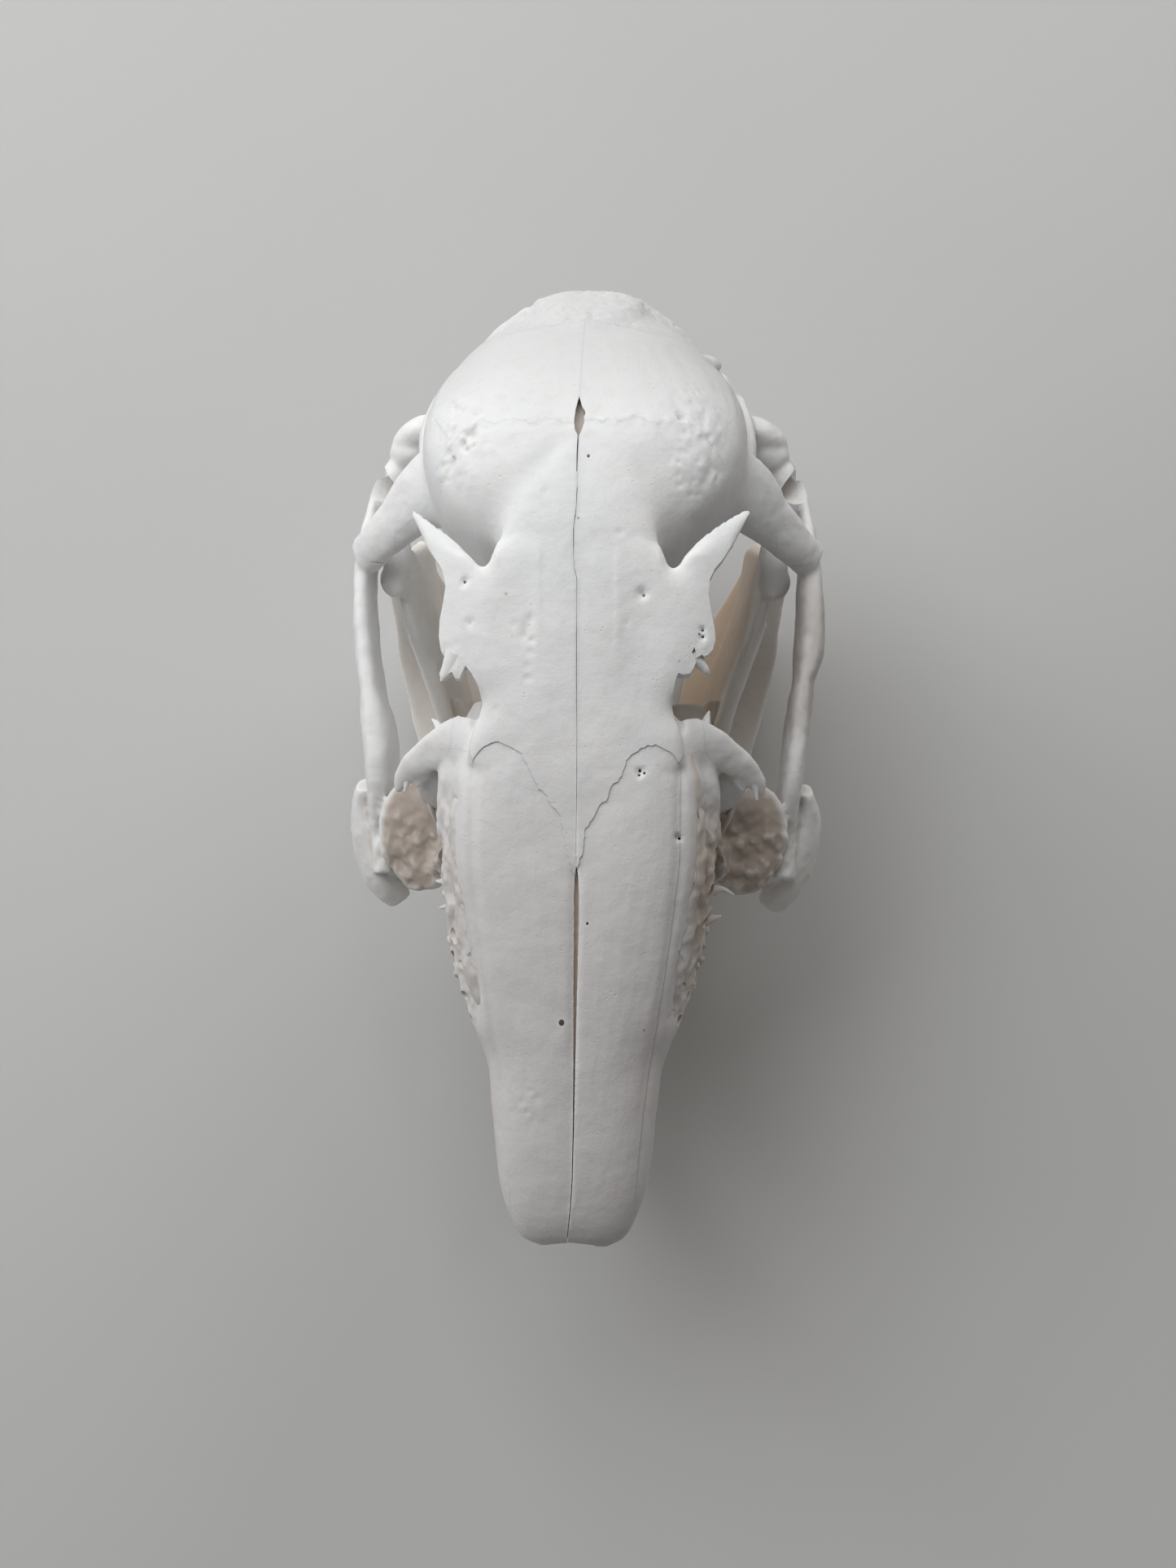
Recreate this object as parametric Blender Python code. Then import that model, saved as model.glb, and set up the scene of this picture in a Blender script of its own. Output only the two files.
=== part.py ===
"""Rabbit skull with its lower jaw, life size, resting on the jaw.

Lengths are in millimetres until a mesh is made. A place is (x, y, z): x to the animal's left or right,
y behind the tip of the nose, z above the surface that the jaw rests on. The nose points along -Y.
"""

import math

import bmesh
import bpy
from mathutils import Matrix, Vector

MM = 0.001

# Driving dimensions
CUT = 0.3  # width of the thin cuts that part the bones
CRANIUM_VOXEL = 0.42
JAW_VOXEL = 0.42
TOOTH_GAP = 0.3
CRANIUM_TRIANGLES = 2200
JAW_TRIANGLES = 560
RING_POINTS = 28
BITE_HEIGHT = 18.3  # where the upper and lower cheek teeth meet
CONDYLE_HEIGHT = 33.0
JAW_SHIFT_BELOW = 1.0  # how far the loose lower jaw has slipped to the left at its foot
JAW_SHIFT_ABOVE = 0.3  # and at its condyles

# Midline profile of the roof: (behind the nose, height)
ROOF = (
    (-1.2, 39.2), (0, 41.0), (4, 43.2), (10, 45.4), (20, 48.6), (30, 51.2), (37, 52.8), (45, 54.4),
    (52, 55.5), (58, 56.0), (63, 55.6), (68, 53.8), (73, 50.3), (77, 46.2), (79.4, 43.0), (80.8, 40.0),
)

# Bone colours: fresh white on the roof, warmer where the bone is thin or lies in shade
BONE_WHITE = (0.83, 0.82, 0.80, 1.0)
BONE_WARM = (0.78, 0.74, 0.68, 1.0)
TOOTH_IVORY = (0.80, 0.74, 0.60, 1.0)


def clear_scene():
    for obj in list(bpy.data.objects):
        bpy.data.objects.remove(obj, do_unlink=True)


def make_material(name, colour, roughness):
    material = bpy.data.materials.new(name)
    material.use_nodes = True
    shader = material.node_tree.nodes["Principled BSDF"]
    shader.inputs["Base Color"].default_value = colour
    shader.inputs["Roughness"].default_value = roughness
    shader.inputs["Metallic"].default_value = 0.0
    return material


def value_at(keys, place):
    """Smooth value at a place along keys of (place, value)."""
    if not isinstance(keys, tuple):
        return keys
    if place <= keys[0][0]:
        return keys[0][1]
    for i in range(len(keys) - 1):
        (p0, v0), (p1, v1) = keys[i], keys[i + 1]
        if place <= p1:
            before = keys[max(i - 1, 0)]
            after = keys[min(i + 2, len(keys) - 1)]
            span = p1 - p0
            slope0 = (v1 - before[1]) / (p1 - before[0]) * span
            slope1 = (after[1] - v0) / (after[0] - p0) * span
            t = (place - p0) / span
            return (
                (2 * t**3 - 3 * t**2 + 1) * v0 + (t**3 - 2 * t**2 + t) * slope0
                + (3 * t**2 - 2 * t**3) * v1 + (t**3 - t**2) * slope1
            )
    return keys[-1][1]


def roof(y):
    return value_at(ROOF, y)


def round_ring(half_width, up, down, power=2.0, taper=0.0):
    """A closed ring of (across, height) points: an oval with squarer corners for a higher power,
    drawn in towards its lower end by taper."""
    points = []
    for i in range(RING_POINTS):
        angle = 2 * math.pi * i / RING_POINTS
        c, s = math.cos(angle), math.sin(angle)
        across = half_width * math.copysign(abs(c) ** (2 / power), c)
        height = math.copysign(abs(s) ** (2 / power), s)
        if s < 0:
            across *= 1 - taper * (-height) ** 0.8
        points.append((across, height * (up if s > 0 else down)))
    return points


def loft(rings):
    """A closed skin over a row of rings of places, as a bmesh in metres."""
    bm = bmesh.new()
    edges_before = None
    for i, ring in enumerate(rings):
        verts = bmesh.ops.create_circle(bm, segments=len(ring), radius=MM)["verts"]
        for vert, place in zip(verts, ring):
            vert.co = Vector(place) * MM
        edges = list({edge for vert in verts for edge in vert.link_edges if edge.other_vert(vert) in verts})
        if i in (0, len(rings) - 1):
            bmesh.ops.edgeloop_fill(bm, edges=edges)
        if edges_before:
            bmesh.ops.bridge_loops(bm, edges=edges_before + edges)
        edges_before = edges
    bmesh.ops.recalc_face_normals(bm, faces=bm.faces)
    return bm


def body_along(start, end, step, half_width, top, widest, bottom, power=2.0, taper=0.0, middle=0.0):
    """A form whose rings stand across the skull, each size given as a number or as smooth keys along y."""
    rings = []
    count = max(2, round((end - start) / step))
    for i in range(count + 1):
        y = start + (end - start) * i / count
        z = value_at(widest, y)
        ring = round_ring(
            value_at(half_width, y), value_at(top, y) - z, z - value_at(bottom, y),
            value_at(power, y), value_at(taper, y),
        )
        x = value_at(middle, y)
        rings.append([(x + across, y, z + height) for across, height in ring])
    return loft(rings)


def bar(path, side=1, power=2.2, step=1.2):
    """A form swept along stations of (x, y, z, half width, half height, roll in degrees). Half width runs
    level across the path and half height stands up from it, both turned about the path by roll."""
    stations = smooth_stations(path, step)
    rings = []
    for i, (x, y, z, half_width, half_height, roll) in enumerate(stations):
        ahead = Vector(stations[min(i + 1, len(stations) - 1)][:3]) - Vector(stations[max(i - 1, 0)][:3])
        ahead.normalize()
        across = ahead.cross(Vector((0, 0, 1))).normalized()
        up = across.cross(ahead)
        turn = Matrix.Rotation(math.radians(roll), 3, ahead)
        across, up = turn @ across, turn @ up
        ring = round_ring(half_width, half_height, half_height, power)
        places = [Vector((x, y, z)) + across * a + up * h for a, h in ring]
        rings.append([(side * p.x, p.y, p.z) for p in places])
    return loft(rings)


def smooth_stations(path, step):
    """Stations read from smooth curves through the path's own stations, about a step apart."""
    along = [0.0]
    for before, after in zip(path, path[1:]):
        along.append(along[-1] + (Vector(after[:3]) - Vector(before[:3])).length)
    count = max(2, round(along[-1] / step))
    columns = [tuple(zip(along, column)) for column in zip(*path)]
    return [[value_at(keys, along[-1] * i / count) for keys in columns] for i in range(count + 1)]


def egg(x, y, z, radii, side=1, turn=(0, 0, 0)):
    """An oval lump at a place, turned by angles in degrees."""
    bm = bmesh.new()
    bmesh.ops.create_uvsphere(bm, u_segments=14, v_segments=9, radius=MM)
    bmesh.ops.scale(bm, vec=radii, verts=bm.verts)
    for axis, angle in zip("XYZ", turn):
        spin = Matrix.Rotation(math.radians(angle * (side if axis != "X" else 1)), 3, axis)
        bmesh.ops.rotate(bm, cent=(0, 0, 0), matrix=spin, verts=bm.verts)
    bmesh.ops.translate(bm, vec=Vector((side * x, y, z)) * MM, verts=bm.verts)
    return bm


def prism(outline, low, high, plane="XY"):
    """An outline pushed up between two levels. An XY outline is a plan, a YZ one a side view.
    Each level is a number or a function of the place."""
    bm = bmesh.new()
    level_low = low if callable(low) else lambda place: low
    level_high = high if callable(high) else lambda place: high
    corner = (lambda p, q, level: (p, q, level)) if plane == "XY" else (lambda p, q, level: (level, p, q))
    base = [bm.verts.new(Vector(corner(p, q, level_low((p, q)))) * MM) for p, q in outline]
    face = bm.faces.new(base)
    top = bmesh.ops.extrude_face_region(bm, geom=[face])["geom"]
    lifted = [v for v in top if isinstance(v, bmesh.types.BMVert)]
    for vert in lifted:
        p, q = (vert.co.x / MM, vert.co.y / MM) if plane == "XY" else (vert.co.y / MM, vert.co.z / MM)
        vert.co = Vector(corner(p, q, level_high((p, q)))) * MM
    bmesh.ops.recalc_face_normals(bm, faces=bm.faces)
    return bm


def grown(outline, by):
    """The outline with each side moved outwards."""
    area = sum(x0 * y1 - x1 * y0 for (x0, y0), (x1, y1) in zip(outline, outline[1:] + outline[:1]))
    out = []
    for i, here in enumerate(outline):
        here = Vector(here)
        back = (here - Vector(outline[i - 1])).normalized()
        ahead = (Vector(outline[(i + 1) % len(outline)]) - here).normalized()
        corner = Vector((back.y + ahead.y, -back.x - ahead.x))
        corner = corner.normalized() / max(0.5, math.sqrt(max(0.0, (1 + back.dot(ahead)) / 2)))
        out.append(tuple(here + corner * by * math.copysign(1, area)))
    return out


def to_object(name, *forms):
    """One object that holds the forms, still as separate shells."""
    mesh = bpy.data.meshes.new(name)
    joined = bmesh.new()
    for bm in forms:
        bm.to_mesh(mesh)
        joined.from_mesh(mesh)
        bm.free()
    joined.to_mesh(mesh)
    joined.free()
    obj = bpy.data.objects.new(name, mesh)
    bpy.context.collection.objects.link(obj)
    return obj


def apply_modifiers(obj):
    bpy.context.view_layer.update()
    graph = bpy.context.evaluated_depsgraph_get()
    mesh = bpy.data.meshes.new_from_object(obj.evaluated_get(graph))
    obj.modifiers.clear()
    obj.data = mesh


def fuse(obj, voxel, triangles, smoothing=4):
    """Melts the object's shells into one closed bone and thins its mesh to about that many triangles."""
    remesh = obj.modifiers.new("Melt", "REMESH")
    remesh.mode = "VOXEL"
    remesh.voxel_size = voxel * MM
    smooth = obj.modifiers.new("Ease", "SMOOTH")
    smooth.factor = 0.5
    smooth.iterations = smoothing
    apply_modifiers(obj)
    keep_largest(obj)
    thin = obj.modifiers.new("Thin", "DECIMATE")
    thin.ratio = triangles / (2 * len(obj.data.polygons))
    thin.use_collapse_triangulate = True
    apply_modifiers(obj)


def shells_of(bm):
    """The separate shells of a bmesh, as lists of faces."""
    left, shells = set(bm.faces), []
    while left:
        shell, front = [], [left.pop()]
        while front:
            face = front.pop()
            shell.append(face)
            for edge in face.edges:
                for other in edge.link_faces:
                    if other in left:
                        left.remove(other)
                        front.append(other)
        shells.append(shell)
    return shells


def keep_largest(obj):
    """Drops every shell but the one with the most surface."""
    bm = bmesh.new()
    bm.from_mesh(obj.data)
    shells = sorted(shells_of(bm), key=lambda shell: sum(face.calc_area() for face in shell))
    crumbs = [face for shell in shells[:-1] for face in shell]
    bmesh.ops.delete(bm, geom=crumbs, context="FACES")
    bm.to_mesh(obj.data)
    bm.free()


def boolean(obj, cutter, operation, solver="EXACT"):
    modifier = obj.modifiers.new(operation, "BOOLEAN")
    modifier.operation = operation
    modifier.solver = solver
    modifier.object = cutter
    apply_modifiers(obj)


def hollow(obj, *forms):
    cutter = to_object("cutter", *forms)
    boolean(obj, cutter, "DIFFERENCE")
    bpy.data.objects.remove(cutter)


def carve(body, name, region):
    """Parts one bone from the body. region(grow) makes the space that the bone takes, grown by a width."""
    bone = body.copy()
    bone.data = body.data.copy()
    bone.name = name
    bpy.context.collection.objects.link(bone)
    inside = to_object("inside", region(0.0))
    outside = to_object("outside", region(CUT))
    boolean(bone, inside, "INTERSECT", "MANIFOLD")
    boolean(body, outside, "DIFFERENCE", "MANIFOLD")
    keep_largest(bone)
    keep_largest(body)
    for cutter in (inside, outside):
        bpy.data.objects.remove(cutter)
    return bone


# Cranium: the forms that are melted into one


def snout():
    return body_along(
        -1.2, 41, 1.1,
        half_width=(
            (-1.2, 2.2), (-0.5, 3.9), (1, 5.0), (3.4, 5.8), (6.4, 6.3), (10, 6.7), (13.7, 7.2), (17, 8.5),
            (21, 9.8), (25, 10.6), (30, 11.2), (35, 10.6), (41, 8.6),
        ),
        top=ROOF,
        widest=((-1.2, 38.4), (4, 39.2), (12, 40.2), (20, 41.2), (30, 42.4), (41, 44)),
        bottom=((-1.2, 36), (0.2, 31.5), (1.6, 28.6), (4, 27.8), (8, 27.4), (15, 26.4), (22, 25.2), (32, 24.2)),
        power=2.6,
        taper=((-1.2, 0.2), (4, 0.4), (12, 0.5), (24, 0.42), (41, 0.35)),
    )


def orbit_roof():
    return body_along(
        29, 65, 1.2,
        half_width=((29, 3.5), (33, 7.0), (36, 8.5), (38.5, 8.4), (41, 7.5), (46, 7.9), (51, 7.3), (55, 6.6), (58, 6.3),
                    (62, 5.4), (65, 3.5)),
        top=tuple((y, z - 0.04) for y, z in ROOF),
        widest=tuple((y, z - 1.7) for y, z in ROOF),
        bottom=tuple((y, z - 7.5) for y, z in ROOF),
        power=2.4,
        taper=0.35,
    )


def orbit_septum():
    """The wall between the two orbits, down to the base."""
    return body_along(
        34, 62, 1.2,
        half_width=((34, 8.0), (38, 6.8), (42, 4.4), (46, 3.2), (52, 2.7), (56, 3.4), (62, 6.5)),
        top=tuple((y, z - 3.5) for y, z in ROOF),
        widest=40,
        bottom=((34, 25), (46, 27), (62, 28.5)),
        power=3.2,
    )


def braincase():
    return body_along(
        54, 80.6, 1.2,
        half_width=(
            (54, 5.5), (56.5, 8.4), (59, 11.0), (62, 12.9), (66, 13.7), (69.5, 13.4), (72.5, 12.4),
            (75, 11.0), (77, 9.2), (79, 7.2), (80.6, 4.8),
        ),
        top=ROOF,
        widest=((54, 46), (60, 43.5), (66, 41.5), (72, 39.5), (78, 37), (80.6, 36)),
        bottom=((54, 37), (58, 31), (64, 28.4), (72, 28), (78, 28.5), (80.6, 30)),
        power=2.15,
    )


def occiput_shield():
    """The raised square shield above the nape."""
    return body_along(
        74.0, 80.8, 0.8,
        half_width=((74.0, 2.2), (76, 4.4), (78.5, 5.2), (80.2, 4.6), (80.8, 3.2)),
        top=((74.0, 49.6), (76.5, 47.4), (78.5, 45.4), (80.2, 43.7), (80.8, 42.8)),
        widest=((74.0, 45), (80.8, 41.8)),
        bottom=((74.0, 42), (80.8, 40.4)),
        power=3.0,
    )


def base_beam():
    """Basisphenoid and basioccipital, in the midline under the braincase."""
    return body_along(
        46, 80.5, 1.4,
        half_width=((46, 2.4), (56, 2.8), (66, 3.4), (74, 4.2), (80.5, 4.0)),
        top=((46, 31), (80.5, 32)),
        widest=((46, 28.5), (66, 27.8), (80.5, 29.4)),
        bottom=((46, 26.8), (60, 25.8), (70, 26), (80.5, 27.8)),
        power=2.8,
    )


def brow_forms(side):
    """The thin eave over each orbit. It is built outwards from the roof, and ends in a long hind spike
    and a short front one."""
    front = ((3, 40.5), (7.6, 41.9), (8.4, 43.4), (10.0, 43.6), (10.9, 43.9), (11.3, 46.6), (11.6, 50.0),
             (12.0, 54.2), (13.3, 57.0))
    back = ((3, 56.0), (6.8, 53.1), (7.7, 52.7), (8.6, 53.0), (9.9, 54.6), (11.1, 56.0), (12.3, 57.0), (13.3, 57.6))
    drop = ((3, 0.15), (5, 0.55), (8, 1.5), (10, 2.4), (13.3, 4.3))
    thickness = ((3, 3.0), (7, 2.2), (10, 1.3), (13.3, 0.8))
    across = 8
    rings = []
    for x in (3, 5, 7, 7.7, 8.4, 9.2, 10, 10.6, 11.1, 11.5, 12, 12.6, 13.3):
        start, end = value_at(front, x), value_at(back, x)
        upper, lower = [], []
        for i in range(across + 1):
            t = i / across
            y = start + (end - start) * t
            z = roof(y) - value_at(drop, x)
            rim = math.sqrt(max(0.0, 1 - (2 * t - 1) ** 4))
            half = value_at(thickness, x) / 2 * (0.35 + 0.65 * rim)
            middle = z - value_at(thickness, x) / 2
            upper.append((side * x, y, middle + half))
            lower.append((side * x, y, middle - half))
        rings.append(upper + lower[::-1])
    spike = ((10.0, 46.6, 52.2, 1.1, 0.7, 0), (10.9, 44.9, 51.3, 0.8, 0.6, 0), (11.4, 43.4, 50.4, 0.4, 0.4, 0))
    return [loft(rings), bar(spike, side, step=0.6)]


def tear_bone(side):
    """The hooked process in front of the orbit."""
    hook = ((8.6, 38.6, 49.2, 1.7, 1.2, 0), (11.3, 38.7, 46.9, 1.3, 0.9, 0), (13.2, 37.9, 45.1, 1.1, 0.8, 0),
            (14.5, 36.9, 43.7, 0.9, 0.65, 0), (15.0, 36.1, 43.0, 0.5, 0.4, 0))
    return [bar(hook, side, step=0.8)]


def cheek_forms(side):
    """The root of the cheek arch on the upper jaw: a thin rounded plate above, held to the snout by a web
    of bone under the tear bone's hook, and a stout root below that ends in a crescent spur."""
    plate = egg(14.2, 33.3, 35.2, (3.6, 4.8, 1.0), side, turn=(22, 18, 0))
    web = egg(11.3, 36.9, 41.3, (2.7, 1.9, 4.6), side, turn=(-18, 0, 0))
    root = bar(((9.5, 33.5, 28.5, 3.0, 4.2, 0), (13.5, 32.4, 29.3, 2.3, 3.8, 0), (17.6, 31.8, 29.4, 1.6, 3.2, 0)), side)
    rim = bar(((10.4, 31.6, 36.6, 2.6, 2.2, 0), (13.0, 33.2, 34.0, 2.0, 1.2, 0), (17.2, 34.2, 32.6, 1.4, 1.2, 0)), side)
    spur = bar(
        ((19.7, 38.3, 32.6, 0.7, 1.2, 0), (20.0, 36.4, 31.0, 1.0, 1.7, 15), (19.5, 33.4, 29.8, 1.3, 2.1, 25),
         (18.1, 30.4, 28.6, 1.5, 2.0, 30), (16.8, 28.7, 27.4, 1.1, 1.4, 30)), side)
    return [plate, web, root, rim, spur]


def arch_forms(side):
    """The cheek arch: an upright strip of bone from the spur to its free tip behind the ear side root."""
    strip = bar(
        ((17.6, 30.8, 29.6, 1.2, 3.0, 0), (17.9, 35, 30.4, 1.25, 3.4, 0), (18.2, 39.5, 32.6, 1.2, 4.2, 0),
         (18.5, 43, 33.4, 1.3, 3.9, 0), (19.1, 46, 33.8, 1.2, 3.7, 0), (19.55, 49.5, 34.1, 1.15, 3.5, 0),
         (19.85, 53, 34.3, 1.0, 3.3, 0), (20.05, 57, 34.3, 0.9, 3.2, 0), (19.9, 60, 34.0, 0.9, 2.9, 0),
         (19.3, 63, 33.3, 0.8, 2.2, 0), (18.6, 66.3, 32.6, 0.6, 1.0, 0)),
        side, power=2.8)
    flange = bar(((19.7, 46, 31.0, 0.7, 1.2, 0), (20.4, 51.5, 31.0, 0.8, 1.3, 0), (20.3, 57, 31.4, 0.8, 1.2, 0),
                  (19.7, 61, 32.0, 0.6, 1.0, 0)), side)
    return [strip, flange]


def ear_side_arm(side):
    """The arm of the temporal bone that runs out from the braincase to the arch."""
    arm = ((11.5, 62.0, 43.0, 3.4, 2.2, 0), (14.0, 60.8, 41.6, 2.9, 1.4, 0), (16.2, 59.6, 39.8, 2.2, 1.3, 0),
           (18.2, 58.7, 38.0, 2.0, 1.4, 0), (19.8, 58.2, 36.4, 1.9, 1.4, 0))
    crest = ((13.0, 61.5, 42.4, 0.8, 1.4, 0), (14.1, 65.0, 41.4, 0.8, 1.5, 0), (14.3, 69.0, 39.6, 0.9, 1.6, 0),
             (13.8, 72.4, 38.2, 0.8, 1.2, 0))
    return [bar(arm, side), bar(crest, side)]


def ear_forms(side):
    """Bulla, ear tube with its oval rim, mastoid flange and the process beside the condyle."""
    bulla = egg(10.2, 70.0, 26.6, (4.7, 6.2, 6.0), side, turn=(0, 10, 12))
    tube = bar(((10.5, 69.4, 27.5, 3.4, 3.2, 0), (14.0, 67.6, 31.4, 2.6, 2.3, 0), (17.3, 66.0, 34.6, 2.6, 2.0, 0)), side)
    rim = egg(17.3, 65.8, 34.9, (1.5, 3.3, 2.1), side, turn=(0, 35, 24))
    mastoid = egg(14.0, 70.2, 34.6, (3.2, 1.7, 4.0), side, turn=(0, 0, -22))
    back = bar(((10.0, 73.6, 36.6, 2.4, 4.2, 0), (12.4, 72.2, 35.2, 1.7, 3.8, 0)), side)
    process = bar(((11.4, 74.4, 34.5, 1.8, 1.0, 0), (11.5, 74.4, 28.0, 1.6, 0.8, 0), (11.0, 73.6, 22.6, 0.8, 0.6, 0)), side)
    return [bulla, tube, rim, mastoid, back, process]


def nape_forms(side):
    crest = bar(((3.8, 79.4, 42.6, 0.9, 1.1, 0), (7.6, 77.2, 41.2, 0.9, 1.1, 0), (10.4, 74.4, 39.4, 0.9, 1.1, 0),
                 (12.4, 71.6, 38.4, 0.8, 1.0, 0)), side)
    plate = bar(((3.0, 79.0, 37.2, 1.5, 4.8, 0), (7.0, 77.4, 35.8, 1.6, 5.0, 0), (10.6, 74.8, 34.8, 1.5, 4.4, 0)), side)
    condyle = egg(4.7, 80.5, 30.6, (2.1, 2.3, 3.6), side, turn=(18, -18, 0))
    neck = bar(((4.5, 78.2, 31.5, 2.2, 3.4, 0), (9.6, 76.0, 31.5, 1.8, 3.0, 0)), side)
    return [crest, plate, condyle, neck]


def tooth_bearer(side):
    """The upper jaw's bulge over the roots of the cheek teeth, with the palate beside it."""
    bulge = body_along(
        29.5, 47.6, 1.1,
        half_width=((29.5, 1.6), (32, 2.8), (40, 3.1), (45, 2.6), (47.6, 1.6)),
        top=((29.5, 31), (34, 34), (41, 33), (47.6, 26.4)),
        widest=((29.5, 26), (47.6, 24.8)),
        bottom=((29.5, 23.6), (32, 22.2), (46, 22.2), (47.6, 22.8)),
        power=2.8,
        middle=side * 9.2,
    )
    palate = body_along(
        31, 42.5, 1.2, half_width=4.6, top=28.5, widest=26.6, bottom=24.8, power=3.0, middle=side * 4.2,
    )
    return [bulge, palate]


def wing_plates(side):
    """Pterygoid plates behind the palate, each ending in a small hook."""
    plate = bar(((5.6, 43.0, 27.0, 0.9, 2.6, 0), (4.6, 49.0, 26.2, 0.7, 3.6, 0), (4.8, 55.0, 25.8, 0.6, 3.6, 0),
                 (5.4, 60.5, 26.2, 0.6, 2.2, 0)), side)
    hook = bar(((4.8, 56.5, 23.6, 0.6, 1.2, 0), (4.6, 59.6, 21.8, 0.45, 0.5, 0)), side)
    wing = bar(((5.0, 60.0, 28.5, 1.6, 2.2, 0), (8.4, 60.0, 31.0, 1.5, 3.0, 0), (10.6, 60.5, 34.5, 1.4, 3.2, 0)), side)
    return [plate, hook, wing]


def upper_cheek_teeth(side):
    """Six teeth in a row; the first and the last are the smallest."""
    teeth = []
    start, pitch, count = 32.0, 2.55, 6
    for i in range(count):
        small = 0.78 if i in (0, count - 1) else 1.0
        y = start + pitch * (i + 0.5)
        tooth = body_along(
            y - 1.2, y + 1.2, 0.6, half_width=2.15 * small, top=24.5, widest=21.5, bottom=BITE_HEIGHT + 0.15,
            power=5.0, middle=side * 9.1,
        )
        teeth.append(tooth)
    return teeth


def cranium():
    forms = [snout(), orbit_roof(), orbit_septum(), braincase(), occiput_shield(), base_beam()]
    for side in (1, -1):
        forms += brow_forms(side) + tear_bone(side) + cheek_forms(side) + arch_forms(side)
        forms += ear_side_arm(side) + ear_forms(side) + nape_forms(side)
        forms += tooth_bearer(side) + wing_plates(side) + upper_cheek_teeth(side)
    body = to_object("cranium", *forms)
    fuse(body, CRANIUM_VOXEL, CRANIUM_TRIANGLES)
    nostril = egg(0, 0.2, 35.7, (4.1, 8.5, 4.3))
    palate_slot = egg(0, 21.5, 24.0, (2.8, 9.0, 4.0))
    spinal_hole = egg(0, 81.6, 34.0, (4.0, 6.0, 3.4))
    optic_hole = egg(0, 52.6, 37.6, (6.5, 2.0, 2.2))
    hollow(body, nostril, palate_slot, spinal_hole, optic_hole)
    for side in (1, -1):
        ear_hole = bar(((19.6, 64.9, 36.8, 2.0, 1.3, 0), (15.6, 66.8, 33.0, 1.6, 1.1, 0)), side)
        hollow(body, ear_hole)
    return body


# Regions: the space that each bone takes


def box_region(x, y, z):
    """A region between two levels along each axis, for a side of the skull."""
    def region(side):
        def make(grow):
            (x0, x1), (y0, y1), (z0, z1) = ((low - grow, high + grow) for low, high in (x, y, z))
            outline = [(side * x0, y0), (side * x1, y0), (side * x1, y1), (side * x0, y1)]
            return prism(outline, z0, z1)
        return make
    return region


HALF_CUT = CUT / 2


def side_view_region(outline, x_low, x_high):
    """A region drawn as a side view of (y, z) and pushed across one side of the skull."""
    def region(side):
        def make(grow):
            ends = sorted((side * (x_low - grow), side * (x_high + grow)))
            return prism(grown(outline, grow), ends[0], ends[1], plane="YZ")
        return make
    return region


def strip_region(start, end, inner, outer, floor):
    """A region between two lines along one side of the roof, down to a floor. Each may have keys along y."""
    def region(side):
        def make(grow):
            rings = []
            count = 9
            for i in range(count + 1):
                y = start + (end - start) * i / count
                x0, x1, low = value_at(inner, y) - grow, value_at(outer, y) + grow, value_at(floor, y) - grow
                y += grow * (2 * i / count - 1)
                rings.append([(side * x0, y, low), (side * x1, y, low), (side * x1, y, 62), (side * x0, y, 62)])
            return loft(rings)
        return make
    return region


LACRIMAL = box_region((10.4, 17), (34.5, 41.5), (41.2, 62))
NASAL = strip_region(
    -3, 37.6,
    inner=((28.6, HALF_CUT), (31, 0.9), (33.2, 1.9), (35.3, 3.5), (37.0, 4.6), (37.6, 6.2)),
    outer=((-3, 5.4), (3, 5.7), (9, 6.0), (14, 6.4), (20, 7.4), (27, 7.9), (33, 8.1), (36.4, 7.7), (37.6, 6.9)),
    floor=tuple((y, z - 2.6) for y, z in ROOF),
)
FRONTAL = strip_region(
    27, 63,
    inner=HALF_CUT,
    outer=((27, 3), (30, 9.4), (36, 12), (41, 16.5), (58.5, 16.5), (60, 11.5), (63, 9)),
    floor=((27, 44), (40, 44), (44, 40), (63, 40)),
)
PARIETAL = strip_region(
    61, 75.2, inner=HALF_CUT, outer=((61, 9), (66, 12.2), (71, 12.2), (75.2, 9)), floor=43,
)
TEMPORAL = box_region((9.2, 24), (57, 74), (20, 62))
BULLA = box_region((5.2, 16), (62.5, 76), (16, 30))
ZYGOMATIC = box_region((17, 24), (39, 70), (26, 37.9))
INCISIVE_VIEW = [(-4, 24), (17.0, 24), (20.5, 34), (24.0, 41), (36.0, 49.2), (36.0, 60), (-4, 60)]
MAXILLA_VIEW = [(14, 14), (50, 14), (50, 33.5), (42, 37), (39.5, 44), (34, 46.6), (20, 40)]
OCCIPITAL_VIEW = [(74.8, 60), (75.2, 40), (72.4, 34), (71.0, 20), (90, 20), (90, 60)]


def part_cranium(body):
    """Parts the cranium into its bones by thin cuts, from the outermost in."""
    bones = []
    for side, name in ((1, "right"), (-1, "left")):
        bones.append(carve(body, f"zygomatic_{name}", ZYGOMATIC(side)))
        bones.append(carve(body, f"lacrimal_{name}", LACRIMAL(side)))
        bones.append(carve(body, f"nasal_{name}", NASAL(side)))
        bones.append(carve(body, f"frontal_{name}", FRONTAL(side)))
        bones.append(carve(body, f"parietal_{name}", PARIETAL(side)))
        bones.append(carve(body, f"incisive_{name}", side_view_region(INCISIVE_VIEW, HALF_CUT, 14)(side)))
        bones.append(carve(body, f"maxilla_{name}", side_view_region(MAXILLA_VIEW, HALF_CUT, 24)(side)))
        bones.append(carve(body, f"bulla_{name}", BULLA(side)))
        bones.append(carve(body, f"temporal_{name}", TEMPORAL(side)))
    bones.append(carve(body, "occipital", side_view_region(OCCIPITAL_VIEW, -20, 20)(1)))
    body.name = "sphenoid"
    bones.append(body)
    return bones


# Lower jaw


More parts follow.
